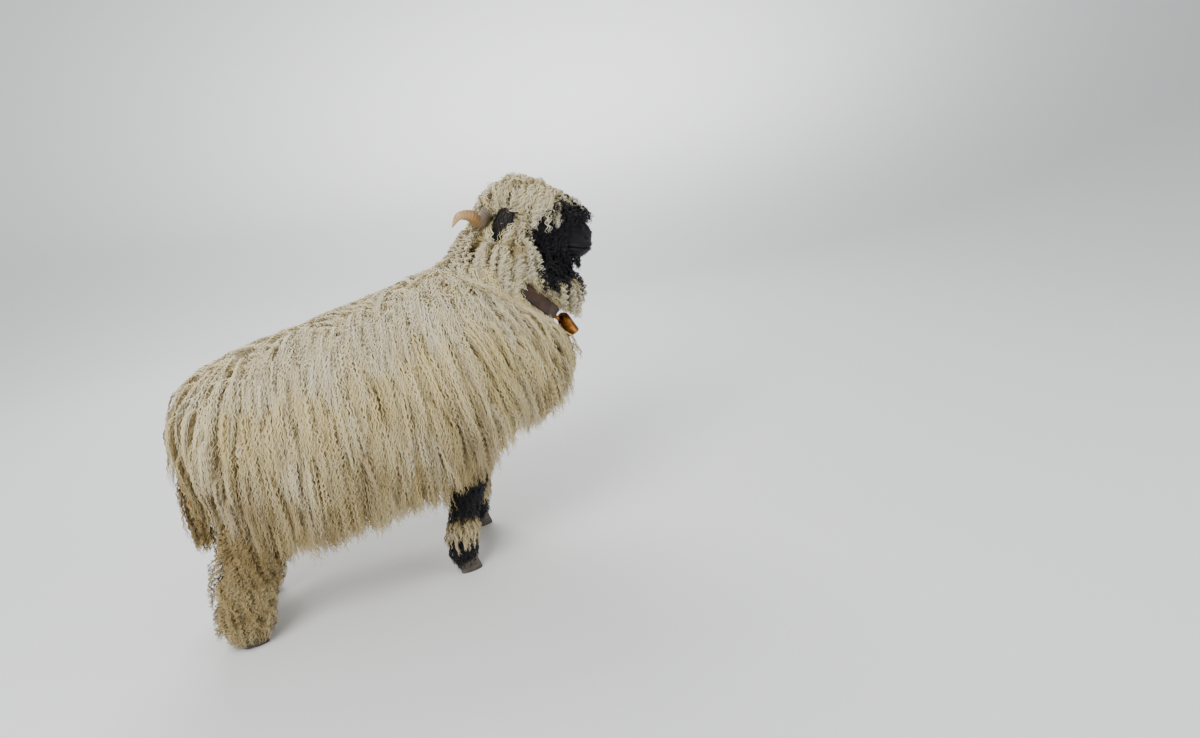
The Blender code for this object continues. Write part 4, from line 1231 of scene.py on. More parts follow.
@dataclass
class Fleece:
    """Grows staples of wool from roots and turns them into joined pieces of thin ribbons.

    A staple that is cut shorter than the shortest share, or that leaps a hollow, is left out.
    """

    hide: Hide
    wool: Material
    rng: np.random.Generator
    steps: int = 9
    sink: float = 0.003
    clearance: float = 0.010
    shortest: float = 0.22
    leap: float = 2.4
    piece_limit: int = 190000
    patch: float = 0.003
    made: int = 0

    def lead(self, kind: Wool, roots: Roots, pulls: Array, lengths: Array,
             heights: Array, surface: Surface) -> tuple[Array, Array, Array]:
        """Lead each staple from its root over the skin, and let it hang where the skin turns under.

        Args:
            kind: How the wool leaves the skin.
            roots: Where the staples start.
            pulls: The direction that each staple is drawn to.
            lengths: How long each is.
            heights: How far each stands above the skin where it lies.
            surface: What it lies over.

        Returns:
            The staples' points, their sideways directions and their outward directions.
        """
        count = len(roots.places)
        paths, sides, outs = np.zeros((3, count, self.steps, 3))
        down = Vector(DOWN)
        nearest = surface.tree.find_nearest
        for index in range(count):
            spot, normal = Vector(roots.places[index]), Vector(roots.normals[index])
            pull = Vector(pulls[index]).normalized()
            step = lengths[index] / (self.steps - 1)
            free = False
            way = pull
            paths[index, 0] = spot - normal * self.sink
            for ring in range(self.steps):
                if ring:
                    share = ring / (self.steps - 1)
                    rise = heights[index] * min(1.0, share / kind.settle) ** 0.7
                    if free:
                        way = (way * 0.45 + down * 0.55).normalized()
                        gone = Vector(paths[index, ring - 1]) + way * step
                        found, face, _, _ = nearest(gone)
                        if (gone - found).dot(face) < self.clearance:
                            gone = found + face * self.clearance
                    else:
                        way = pull - normal * pull.dot(normal)
                        if way.length < 0.05:
                            way = down - normal * down.dot(normal)
                        way.normalize()
                        found, face, _, _ = nearest(spot + way * step)
                        normal = (normal + face).normalized()
                        gone = found + normal * rise
                        spot = found
                        free = normal.z < kind.hang
                    paths[index, ring] = gone
                outs[index, ring] = normal
                sides[index, ring] = way.cross(normal)
        return paths, unit(sides), unit(outs)

    def trim(self, closed: Array) -> Array:
        """Return the share of each staple that lies before its first closed point.

        Args:
            closed: Which of the staples' points the wool may not reach.

        Returns:
            One for a staple that is clear, and less for one that has to end sooner.
        """
        first = closed.argmax(axis=1)
        return np.where(closed.any(axis=1), np.maximum(first - 0.6, 0.0) / (self.steps - 1), 1.0)

    def reread(self, values: Array, t: Array) -> Array:
        """Read each staple's rows smoothly at its own places.

        Args:
            values: Rows of each staple.
            t: Shares of the staple, any number for each staple.

        Returns:
            A row for each share.
        """
        spot = np.clip(t, 0, 1) * (self.steps - 1)
        low = np.minimum(spot.astype(int), self.steps - 2)
        part = (spot - low)[..., None]
        who = np.arange(len(values)).reshape((-1,) + (1,) * (t.ndim - 1))
        return cubic(values[who, np.maximum(low - 1, 0)], values[who, low], values[who, low + 1],
                     values[who, np.minimum(low + 2, self.steps - 1)], part)

    def grow(self, kind: Wool, roots: Roots, pulls: Array, lengths: Array, heights: Array,
             closed: Callable | None = None, black: Array | None = None, shade: Array | None = None,
             clump: Callable | None = None, surface: Surface | None = None,
             fresh: Array | None = None) -> None:
        """Grow one kind of wool from roots, as pieces under 200,000 triangles.

        Args:
            kind: How the wool looks.
            roots: Where it grows.
            pulls: The lie of each staple.
            lengths: The length of each staple.
            heights: The height of each staple over the skin.
            closed: Takes points and says which of them the wool may not reach.
            black: How black each staple is, or the skin's own marking.
            shade: An addition to each staple's shade.
            clump: Takes points and gives how far wool drifts sideways and swells there.
            surface: What the wool lies over, or else the guide over skin and horn bases.
            fresh: How much of the painted shade near the root each staple skips, so that its colour starts nearer to
                its pale tip.
        """
        paths, sides, outs = self.lead(kind, roots, pulls, lengths, heights, surface or self.hide.guide)
        none = np.zeros(len(paths))
        staples = Staples(paths, sides, outs, lengths, roots.maps,
                          self.hide.blackness(roots.places) if black is None else black,
                          none if shade is None else shade, self.hide.dirt(roots.places),
                          none if fresh is None else fresh)
        if clump is not None:
            drift, swell = clump(paths)
            ease = np.linspace(0, 1, self.steps)[None, :] ** 0.8
            staples.paths = paths + sides * (drift * ease)[..., None] + outs * (swell * ease)[..., None]
        if closed is not None:
            share = self.trim(closed(staples.paths.reshape(-1, 3)).reshape(paths.shape[:2]))
            staples.lengths = lengths * share
            staples = staples.where(share > self.shortest)
            grid = np.linspace(0, 1, self.steps)[None, :] * share[share > self.shortest][:, None]
            for part in ("paths", "sides", "outs"):
                setattr(staples, part, self.reread(getattr(staples, part), grid))
        spans = np.linalg.norm(np.diff(staples.paths, axis=1), axis=2)
        whole = spans[:, 2:].max(axis=1) < self.leap * staples.lengths / (self.steps - 1)
        staples.lengths = spans.sum(axis=1)
        staples = staples.where(whole)
        each = 2 * (kind.rings - 1) * kind.strands
        groups = max(1, math.ceil(len(staples.paths) * each / self.piece_limit))
        for number, part in enumerate(np.array_split(np.arange(len(staples.paths)), groups)):
            self.piece("%s_%d" % (kind.name, number + 1), kind, staples.where(part))

    def piece(self, name: str, kind: Wool, staples: Staples) -> None:
        """Turn staples into one mesh of ribbons with its wool attribute and map.

        Args:
            name: The piece's name.
            kind: How the wool looks.
            staples: The staples, whose strands are spread across each and wave along it.
        """
        rng = self.rng
        count, strands, rings = len(staples.paths), kind.strands, kind.rings
        one = (count, strands, 1)
        share = np.linspace(0, 1, rings)[None, None, :] ** 0.86 * np.ones(one)
        t = share * rng.uniform(0.80, 1.0, one)
        path = self.reread(staples.paths, t)
        side, out = unit(self.reread(staples.sides, t)), unit(self.reread(staples.outs, t))
        gather = 1 - kind.gather * share ** 1.5
        waves = staples.lengths[:, None, None] * t / (kind.wave * rng.uniform(0.85, 1.2, (count, 1, 1)))
        turn = 2 * math.pi * (waves + rng.random((count, 1, 1)) + rng.normal(0, kind.loose, one))
        turn = turn + rng.normal(0, kind.loose * 6, one) * share
        high = kind.wave_height * np.minimum(share * 4, 1) * rng.uniform(0.7, 1.3, one)
        high = high * rng.uniform(0.75, 1.25, (count, 1, 1))
        spread = np.linspace(-0.5, 0.5, strands)[None, :, None] + rng.uniform(-0.12, 0.12, one)
        across = spread * kind.lock_width * gather + high * np.sin(turn)
        across = across + rng.normal(0, kind.stray, one) * share ** 2
        lift = (0.25 - spread ** 2) * 0.9 * kind.lock_width * gather + rng.uniform(-0.1, 0.1, one) * 0.01
        lift = lift + high * kind.coil * np.cos(turn) + np.abs(rng.normal(0, kind.stray * 0.45, one)) * share ** 2
        middle = path + side * across[..., None] + out * lift[..., None]
        along = unit(np.gradient(middle, axis=2))
        tilt = spread * 1.5 + rng.uniform(-0.35, 0.35, one) + kind.coil * 0.5 * np.sin(turn)
        flat = side * np.cos(tilt)[..., None] + out * np.sin(tilt)[..., None]
        flat = unit(flat - along * (flat * along).sum(axis=-1, keepdims=True))
        taper = np.minimum(1, share * 6 + 0.4) * (1 - 0.86 * share ** 3)
        edge = flat * (kind.strand_width / 2 * taper * rng.uniform(0.75, 1.25, one))[..., None]
        verts = np.stack([middle - edge, middle + edge], axis=3).reshape(-1, 3)
        face = np.cross(flat, along)
        face = unit(face * 0.55 + out * 0.45)
        bends = np.stack([unit(face - flat * 0.75), unit(face + flat * 0.75)], axis=3).reshape(-1, 3)
        base = (np.arange(count * strands) * rings * 2)[:, None] + np.arange(rings - 1)[None, :] * 2
        quads = np.stack([base, base + 1, base + 3, base + 2], axis=-1).reshape(-1, 4)
        mesh = bpy.data.meshes.new(name)
        mesh.vertices.add(len(verts))
        mesh.vertices.foreach_set("co", verts.ravel())
        mesh.loops.add(quads.size)
        mesh.loops.foreach_set("vertex_index", quads.ravel())
        mesh.polygons.add(len(quads))
        mesh.polygons.foreach_set("loop_start", np.arange(len(quads)) * 4)
        mesh.update(calc_edges=True)
        mesh.shade_smooth()
        mesh.normals_split_custom_set_from_vertices(bends)
        ones = np.ones((count, strands, rings))
        black, shade, stain, fresh = (values[:, None, None] for values in (staples.black, staples.shade,
                                                                           staples.stain, staples.fresh))
        tone = np.clip(kind.shade + shade + rng.normal(0, kind.shade_spread, (count, 1, 1))
                       + rng.normal(0, kind.shade_spread * 0.8, one), 0, 1)
        # The first value sets the painted shade near the root, weaker for staples whose colour starts nearer the tip;
        # the fourth is grime and painted shade, fading towards the tip.
        carried = [smooth(0.0, 0.45, share * ones + fresh), tone * ones, black * ones,
                   stain * ones * (1 - 0.15 * share)]
        paint(mesh, "wool", np.repeat(np.stack(carried, axis=-1).reshape(-1, 4), 2, axis=0))
        rise = (share - 0.5) * ones * self.patch
        width = 0.5 * self.patch * ones
        spots = np.stack([np.stack([-width, rise], -1), np.stack([width, rise], -1)], axis=3)
        spots = spots + staples.maps[:, None, None, None, :]
        mesh.uv_layers.new(name="OFBake").data.foreach_set("uv", spots.reshape(-1, 2)[quads.ravel()].ravel())
        mesh.materials.append(self.wool)
        self.made += 2 * len(quads)
        settle(link(name, mesh), kind.slot)


@dataclass
class Shepherd:
    """Decides where each kind of wool grows and how it lies."""

    plan: SheepPlan
    hide: Hide
    fleece: Fleece
    rng: np.random.Generator
    coat: Coat = Coat()

    def __post_init__(self) -> None:
        """Make ready to sow over the guide, and close on the skin."""
        self.over = RootSower(self.hide, self.hide.guide, self.rng)
        self.close = RootSower(self.hide, self.hide.skin, self.rng)
        self.turn = np.array(self.plan.head_move().to_3x3())

    def place(self, points: Array) -> Array:
        """Return points in the frame that the sizes are written for."""
        return points - np.array(self.plan.shift)

    def collar_side(self, points: Array) -> Array:
        """Return how far points lie ahead of the strap along the neck."""
        axis, _ = self.plan.collar_axes()
        return (self.place(points) - np.array(self.plan.collar_centre)) @ np.array(axis)

    def vary(self, count: int, spread: float) -> Array:
        """Return factors around one."""
        return self.rng.uniform(1 - spread, 1 + spread, count)

    def lengths(self, kind: Wool, count: int) -> Array:
        """Return the lengths of a number of staples of one kind."""
        return kind.length * self.vary(count, kind.spread)

    def drawn(self, way: tuple | Array, count: int, spread: float, in_head: bool = False) -> Array:
        """Return pulls around one direction, or around one for each staple.

        Args:
            way: The direction, or one for each staple.
            count: How many staples there are.
            spread: How much they differ.
            in_head: Whether the direction is in the head's own frame.

        Returns:
            One direction for each staple.
        """
        ways = np.broadcast_to(np.array(way, dtype=float), (count, 3))
        if in_head:
            ways = ways @ self.turn.T
        return ways + self.rng.normal(0, spread, (count, 3))

    def beyond_ears(self, points: Array) -> Array:
        """Say which points lie over an ear's outer side, where no long wool hangs but at its front edge.

        Args:
            points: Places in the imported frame.

        Returns:
            A mask of the points.
        """
        x, y, z = self.hide.in_head(points).T
        ear_x, ear_y = self.plan.ear_line(z)
        half = np.interp(z, np.array(self.plan.ear_path)[:1:-1, 2],
                         np.array(self.plan.ear_half_widths)[:1:-1] + 0.004)
        beside = (np.abs(y) > ear_y - 0.012) & (np.abs(y) < ear_y + 0.07)
        return (x > ear_x - half) & (x < ear_x + half * 0.35) & beside & (z > 0.002) & (z < 0.112)

    def by_horn(self, points: Array, reach: float = 0.028) -> Array:
        """Say which points lie within reach of a horn's free part.

        Args:
            points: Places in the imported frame.
            reach: How near they lie.

        Returns:
            A mask of the points.
        """
        local = self.hide.in_head(points)
        local[:, 1] = np.abs(local[:, 1])
        path = hermite(np.array(self.plan.horn_path), np.linspace(0.37, 1.0, 14))
        away = np.linalg.norm(local[:, None, :] - path[None, :, :], axis=2)
        return away.min(axis=1) < reach

    def by_strap(self, points: Array, margin: float = 0.007) -> Array:
        """Say which points lie over the strap at the throat, or in the bell's room, with a margin.

        Args:
            points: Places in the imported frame.
            margin: How much room is kept.

        Returns:
            A mask of the points.
        """
        axis, up = (np.array(way) for way in self.plan.collar_axes())
        offset = self.place(points) - np.array(self.plan.collar_centre)
        ahead, rise = offset @ axis, offset @ up
        reach = np.hypot(offset[:, 1] / self.plan.strap_half_width, rise / self.plan.strap_half_height)
        strap = (np.abs(ahead) < 0.020 + margin) & (rise < 0.015) & (reach > 0.93) & (reach < 1.7)
        crown, mouth = np.array(self.plan.bell_crown), np.array(self.plan.bell_mouth)
        local = self.place(points)
        line = mouth - crown
        share = np.clip((local - crown) @ line / (line @ line), -0.3, 1.1)
        bell = np.linalg.norm(local - crown - share[:, None] * line, axis=1) < 0.037 + margin
        return strap | bell

    def on_face(self, points: Array) -> Array:
        """Say which points lie before the face, which white wool leaves free."""
        x, y, z = self.hide.in_head(points).T
        return (x > -0.150 - 0.016 * smooth(0.0, 0.04, z)) & (z > -0.072) & (z < 0.105) & (np.abs(y) < 0.13)

    def from_eye(self, local: Array) -> Array:
        """Return how far points in the head's own frame lie from the eye, as seen from the side."""
        return np.hypot(local[:, 0] - self.plan.eye_place.x, local[:, 2] - self.plan.eye_place.z)

    def before_eye(self, points: Array, reach: float) -> Array:
        """Say which points lie before an eye."""
        local = self.hide.in_head(points)
        return (self.from_eye(local) < reach) & (np.abs(local[:, 1]) > 0.035)

    @staticmethod
    def lean(along: Array) -> Array:
        """Return how far the trunk's wool slopes, forwards at the shoulder and back at the rump."""
        return 0.34 * smooth(0.02, 0.40, along) - 0.22 * (1 - smooth(-0.42, -0.20, along))

    def before_muzzle(self, points: Array) -> Array:
        """Say which points lie on the muzzle, which curls leave free."""
        x, y, z = self.hide.in_head(points).T
        return (x > -0.050) & (z > -0.026) & (z < 0.056) & (np.abs(y) < 0.06)

    def trunk(self) -> None:
        """Cover trunk and rump with long wavy staples that part along the spine."""
        kind = self.coat.trunk
        middles = self.over.middles
        roots = self.over.sow(kind.spacing, (middles[:, 2] > 0.20) & (self.collar_side(middles) < 0.004))
        roots = roots.on(Region.TORSO, Region.NECK)
        local = self.place(roots.places)
        count = len(local)
        pulls = np.zeros((count, 3))
        pulls[:, 2] = -1.0
        pulls[:, 0] = self.lean(local[:, 0])
        crest = smooth(0.6, 0.95, roots.normals[:, 2])
        pulls[:, 1] = np.sign(local[:, 1] + self.rng.normal(0, 0.045, count)) * 0.55 * crest
        pulls[:, 0] -= 0.25 * crest
        pulls += self.rng.normal(0, 0.07, (count, 3))
        lengths = self.lengths(kind, count)
        heights = self.plan.torso_coat * self.rng.uniform(0.45 + 0.25 * crest, 1.0 - 0.08 * crest)
        heights *= 1 - 0.20 * crest
        hem = np.array(self.plan.hem)
        ragged = self.rng.normal(0, 0.010, 64)

        def closed(points: Array) -> Array:
            """Say which points lie under the hem, over the strap or in the bell's room.

            Args:
                points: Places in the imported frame.

            Returns:
                A mask of the points.
            """
            spot = self.place(points)
            edge = np.interp(spot[:, 0], hem[:, 0], hem[:, 1]) - 0.02 * (1 - smooth(0.0, 0.16, np.abs(spot[:, 1])))
            edge = edge + ragged[(np.floor(spot[:, 0] * 31) + 9 * (spot[:, 1] > 0)).astype(int) % 64]
            return (spot[:, 2] < edge) | self.by_strap(points) | self.by_horn(points)

        def clump(paths: Array) -> tuple[Array, Array]:
            """Draw staples together into broader locks with grooves between.

            Args:
                paths: The staples' points.

            Returns:
                The drift to the side and the swell outwards.
            """
            spot = self.place(paths)
            u = spot[..., 0] + self.lean(spot[..., 0]) * spot[..., 2]
            u = u + 0.010 * np.sin(spot[..., 2] * 21 + spot[..., 0] * 9)
            phase = 2 * math.pi * (u / 0.046 + 0.45 * np.sin(u * 31) + 0.45 * np.sin(spot[..., 2] * 17 + u * 9))
            side = np.where(spot[..., 1] > 0, 1.0, -1.0)
            flank = smooth(0.06, 0.18, np.abs(spot[..., 1])) * smooth(-0.44, -0.24, spot[..., 0])
            deep = 0.35 + 0.65 * smooth(-0.2, 0.9, np.sin(u * 11 + 1.3) * np.sin(spot[..., 2] * 8 + u * 3))
            return -0.0028 * np.sin(phase) * side * flank * deep, 0.0042 * np.cos(phase) * flank * deep

        # Painted light: the crest term makes the top of the back paler, and staples that face up skip the painted
        # root shade, so they are pale from the root.
        tone = 0.07 * np.sin(local[:, 0] * 41 + local[:, 2] * 6) + 0.06 * np.sin(local[:, 2] * 23 + 2)
        fresh = 0.45 * smooth(0.25, 0.60, roots.normals[:, 2])
        self.fleece.grow(kind, roots, pulls, lengths, heights, closed, shade=tone + 0.2 * crest, clump=clump,
                         fresh=fresh)

    def undercoat(self) -> None:
        """Lay short close wool where the long staples part: along the spine, and on neck and poll."""
        kind = self.coat.undercoat
        middles = self.over.middles
        x, y, z = self.hide.in_head(middles).T
        up = self.over.surface.normals[self.over.surface.corners].mean(axis=1)[:, 2]
        face = (x > -0.155) & (np.abs(y) < 0.14) & (z > -0.10)
        chest = (self.place(middles)[:, 0] > 0.47) & (middles[:, 2] > 0.40)
        mask = ((up > 0.80) | (self.collar_side(middles) > -0.06)) & (middles[:, 2] > 0.45) & ~face | chest
        roots = self.over.sow(kind.spacing, mask)
        count = len(roots.places)
        crest = smooth(0.6, 0.9, roots.normals[:, 2])[:, None]
        sideways = np.stack([np.full(count, -0.5), np.sign(self.rng.normal(0, 1, count)) * 0.5,
                             np.full(count, -0.3)], axis=1)
        pulls = self.drawn(DOWN, count, 0.30) * (1 - crest) + sideways * crest
        heights = self.rng.uniform(0.008 + 0.006 * crest[:, 0], 0.026 + 0.012 * crest[:, 0])
        self.fleece.grow(kind, roots, pulls, self.lengths(kind, count), heights,
                         lambda p: self.by_strap(p, 0.001) | self.on_face(p) | self.by_horn(p, 0.021)
                         | self.beyond_ears(p), fresh=np.full(count, 0.5))

    def ruff(self) -> None:
        """Cover the neck and the back of the head with close, pale ringlets."""
        kind = self.coat.ruff
        middles = self.over.middles
        roots = self.over.sow(kind.spacing, (self.collar_side(middles) > -0.010) & (middles[:, 2] > 0.5))
        x, y, z = self.hide.in_head(roots.places).T
        chest = roots.regions == Region.TORSO.value
        face = (x > -0.150) & (z > -0.085) & (np.abs(y) < 0.12)
        top = ((roots.regions == Region.HEAD.value) & (z > 0.085) & (x > -0.235)
               & ((roots.normals @ self.turn)[:, 2] > 0.25))
        roots = roots.where(~(chest | face | top))
        x, y, z = self.hide.in_head(roots.places).T
        y = np.abs(y)
        count = len(x)
        pulls = self.drawn((-0.05, 0.0, -1.0), count, 0.20)
        beside = (x > -0.215) & (z > -0.02) & (y < 0.10)
        pulls[beside] += np.array((-0.45, 0.0, 0.0)) @ self.turn.T
        axis = np.array(self.plan.collar_axes()[0])
        ahead = self.collar_side(roots.places)
        pulls[(ahead > 0.0) & (ahead < 0.10) & (z > -0.10)] -= 0.7 * axis
        lengths = self.lengths(kind, count)
        heights = self.plan.neck_coat * self.rng.uniform(0.45, 1.0, count)
        on_head = smooth(-0.03, 0.03, z) * (y < 0.10)
        heights *= 1 - 0.45 * on_head * ~beside
        heights = np.where(beside, self.rng.uniform(0.025, 0.056, count), heights)
        ear = self.plan.ear_path[-1]
        low = (np.hypot(x - ear[0], z - ear[2]) < 0.045) & (y > 0.09) & (z > 0.0)
        heights, lengths = np.where(low, 0.014, heights), np.where(low, 0.05, lengths)
        heights = np.where(np.abs(ahead - 0.03) < 0.06, np.maximum(heights, 0.034), heights)
        lengths *= 1 - 0.25 * on_head
        self.fleece.grow(kind, roots, pulls, lengths, heights,
                         lambda p: self.beyond_ears(p) | self.by_strap(p) | self.on_face(p) | self.by_horn(p))

    def legs(self) -> None:
        """Cover the hind legs with short curls, and the front legs with close black wool and a cuff."""
        kind = self.coat.hind
        roots = self.over.sow(kind.spacing, self.over.middles[:, 2] < 0.36)
        hind = roots.on(Region.HIND)
        count = len(hind.places)
        pulls = self.drawn(DOWN, count, 0.18)
        low = 1 - smooth(0.05, 0.14, hind.places[:, 2])
        lengths = self.lengths(kind, count) * (1 - 0.35 * low)
        heights = kind.depth * self.rng.uniform(0.10, 1.0, count)
        self.fleece.grow(kind, hind, pulls, lengths, heights, lambda p: p[:, 2] < 0.0155)
        kind = self.coat.front
        middles = self.close.middles
        roots = self.close.sow(kind.spacing, (middles[:, 2] < 0.36) & (self.place(middles)[:, 0] > 0.05))
        front = roots.on(Region.FRONT)
        count = len(front.places)
        cuff = self.hide.blackness(front.places) < 0.5
        pulls = self.drawn(DOWN, count, 0.14)
        lengths = np.where(cuff, 0.040, kind.length) * self.vary(count, kind.spread)
        heights = np.where(cuff, 0.019, kind.depth) * self.rng.uniform(0.6, 1.1, count)
        self.fleece.grow(kind, front, pulls, lengths, heights, lambda p: p[:, 2] < 0.010)

    def tail(self) -> None:
        """Hang wavy locks from the tail."""
        kind = self.coat.tail
        roots = self.over.sow(kind.spacing, self.place(self.over.middles)[:, 0] < -0.34)
        roots = roots.on(Region.TAIL)
        count = len(roots.places)
        pulls = self.drawn(DOWN, count, 0.08)
        lengths = self.lengths(kind, count)
        heights = kind.depth * self.rng.uniform(0.1, 1.0, count)
        self.fleece.grow(kind, roots, pulls, lengths, heights, lambda p: p[:, 2] < 0.25)

    def head(self) -> None:
        """Dress the head: flat black hair on the muzzle, curls on cheeks and jaw, long locks on top."""
        x, y, z = self.hide.in_head(self.close.middles).T
        near = (x > -0.29) & (z > -0.10) & (z < 0.20) & (np.abs(y) < 0.12)
        roots = self.close.sow(self.coat.face.spacing, near)
        local = self.hide.in_head(roots.places)
        upright = (roots.normals @ self.turn)[:, 2]
        from_eye = np.where(np.abs(local[:, 1]) > 0.03, self.from_eye(local), 1.0)
        x, y, z = local.T
        nose = (x > -0.016) & (z > 0.018) & (z < 0.040)
        mouth = (np.abs(z) < 0.0035) & (x > -0.062)
        free = ~(nose | mouth | (from_eye < 0.0165))
        top = (upright > 0.25) & (z > 0.078)
        crown = top & (x < -0.160)
        fringe = top & (x >= -0.160) & (x < -0.120)
        brow = top & (x >= -0.120) & (x < -0.022)
        muzzle = (x > -0.052) & ~brow & (z > -0.034)
        ring = from_eye < 0.030
        jaw = (((z < -0.030) & ~muzzle) | ((z < -0.018) & (upright < -0.35) & (x < -0.016))) & (x > -0.165)
        muzzle &= ~jaw
        cheek = ~(top | muzzle | jaw | ring) & (x > -0.158 - 0.016 * smooth(0.0, 0.04, z))
        chance = self.rng.random(len(x))
        self.topknot(roots.where(free & crown & (chance < 0.48)))
        self.fringe(roots.where(free & fringe & (chance < 0.75)))
        self.brow(roots.where(free & brow & (chance < 0.85)))
        self.cheeks(roots.where(free & (cheek | jaw) & (chance < 0.52)))
        self.short_hair(roots.where(free & (muzzle | ring | ((cheek | brow) & (chance > 0.5)))))

    def topknot(self, roots: Roots) -> None:
        """Grow the creamy locks of the poll, which part in the middle.

        Args:
            roots: Where they grow.
        """
        local = self.hide.in_head(roots.places)
        count = len(local)
        ways = np.stack([0.35 * smooth(-0.21, -0.15, local[:, 0]) - 0.25, np.sign(local[:, 1]) * 1.0,
                         np.full(count, -0.35)], axis=1)
        kind = self.coat.topknot
        lengths = self.lengths(kind, count)
        heights = kind.depth * self.rng.uniform(0.45, 1.0, count)
        self.fleece.grow(kind, roots, self.drawn(ways, count, 0.22, True), lengths, heights,
                         lambda p: self.beyond_ears(p) | self.on_face(p) | self.by_horn(p))

    def fringe(self, roots: Roots) -> None:
        """Grow the pale curls that fall over the forehead.

        Args:
            roots: Where they grow.
        """
        local = self.hide.in_head(roots.places)
        count = len(local)
        ways = np.stack([np.full(count, 0.25), np.sign(local[:, 1]) * 0.9, np.full(count, -0.5)], axis=1)
        kind = self.coat.fringe
        lengths = self.lengths(kind, count)
        heights = kind.depth * self.rng.uniform(0.4, 1.0, count)
        self.fleece.grow(kind, roots, self.drawn(ways, count, 0.30, True), lengths, heights,
                         lambda p: self.before_muzzle(p) | self.before_eye(p, 0.012), np.zeros(count))

    def brow(self, roots: Roots) -> None:
        """Grow the black curls that stand before the bridge of the nose, with a few pale ones among them.

        Args:
            roots: Where they grow.
        """
        local = self.hide.in_head(roots.places)
        count = len(local)
        ways = np.stack([np.full(count, 0.7), np.sign(local[:, 1]) * 0.35, np.full(count, -0.2)], axis=1)
        kind = self.coat.brow
        low = smooth(-0.055, -0.02, local[:, 0])
        heights = kind.depth * self.rng.uniform(0.25, 1.1, count) * (1 - 0.55 * low)
        lengths = self.lengths(kind, count) * (1 - 0.5 * low)
        pale = self.rng.random(count) < 0.50 * (1 - smooth(-0.105, -0.070, local[:, 0]))
        black = np.where(pale & (heights > 0.014), 0.0, 1.0)
        self.fleece.grow(kind, roots, self.drawn(ways, count, 0.35, True), lengths, heights,
                         lambda p: self.before_muzzle(p) | self.before_eye(p, 0.016)
                         | (self.hide.in_head(p)[:, 0] > 0.004), black)

    def cheeks(self, roots: Roots) -> None:
        """Grow springy curls on the cheeks and under the jaw.

        Args:
            roots: Where they grow.
        """
        local = self.hide.in_head(roots.places)
        count = len(local)
        jaw = 1 - smooth(-0.050, -0.015, local[:, 2])
        kind = self.coat.cheek
        lengths = (kind.length + 0.018 * jaw) * self.vary(count, kind.spread)
        heights = (kind.depth + 0.004 * jaw) * self.vary(count, 0.35)
        close = 1 - smooth(0.030, 0.055, self.from_eye(local))
        lengths, heights = lengths * (1 - 0.5 * close), heights * (1 - 0.6 * close)
        self.fleece.grow(kind, roots, self.drawn((-0.25, 0, -1.0), count, 0.40, True), lengths, heights,
                         lambda p: self.before_muzzle(p) | self.before_eye(p, 0.017)
                         | (self.hide.in_head(p)[:, 2] < -0.104))

    def short_hair(self, roots: Roots) -> None:
        """Lay fine short hair back from the nose and round the eyes.

        Args:
            roots: Where they grow.
        """
        local = self.hide.in_head(roots.places)
        count = len(local)
        around = np.where(np.abs(local[:, 1]) > 0.03, self.from_eye(local), 1.0)
        muzzle = smooth(-0.070, -0.030, local[:, 0])
        kind = self.coat.face
        lengths = (kind.length - 0.011 * muzzle) * self.vary(count, kind.spread)
        heights = (kind.depth - 0.0043 * muzzle) * self.vary(count, 0.3)
        lengths = np.where(around < 0.032, 0.0065, lengths)
        heights = np.where(around < 0.032, 0.0014, heights)
        self.fleece.grow(kind, roots, self.drawn((-1.0, 0, -0.55), count, 0.14, True), lengths, heights,
                         lambda p: self.before_eye(p, 0.0135), surface=self.hide.skin)

    def ears(self, ears: list[Object]) -> None:
        """Cover the ears with short dark hair.

        Args:
            ears: The two ears.
        """
        for number, ear in enumerate(ears):
            kind = replace(self.coat.ear, name="ear_hair_%d" % (number + 1))
            surface = Surface.of(ear.data)
            sower = RootSower(self.hide, surface, self.rng)
            roots = sower.sow(kind.spacing, np.ones(len(sower.middles), dtype=bool))
            count = len(roots.places)
            self.fleece.grow(kind, roots, self.drawn((-0.10, 0, -1.0), count, 0.12, True),
                             self.lengths(kind, count), kind.depth * self.vary(count, 0.4),
                             black=np.full(count, 0.96), surface=surface)


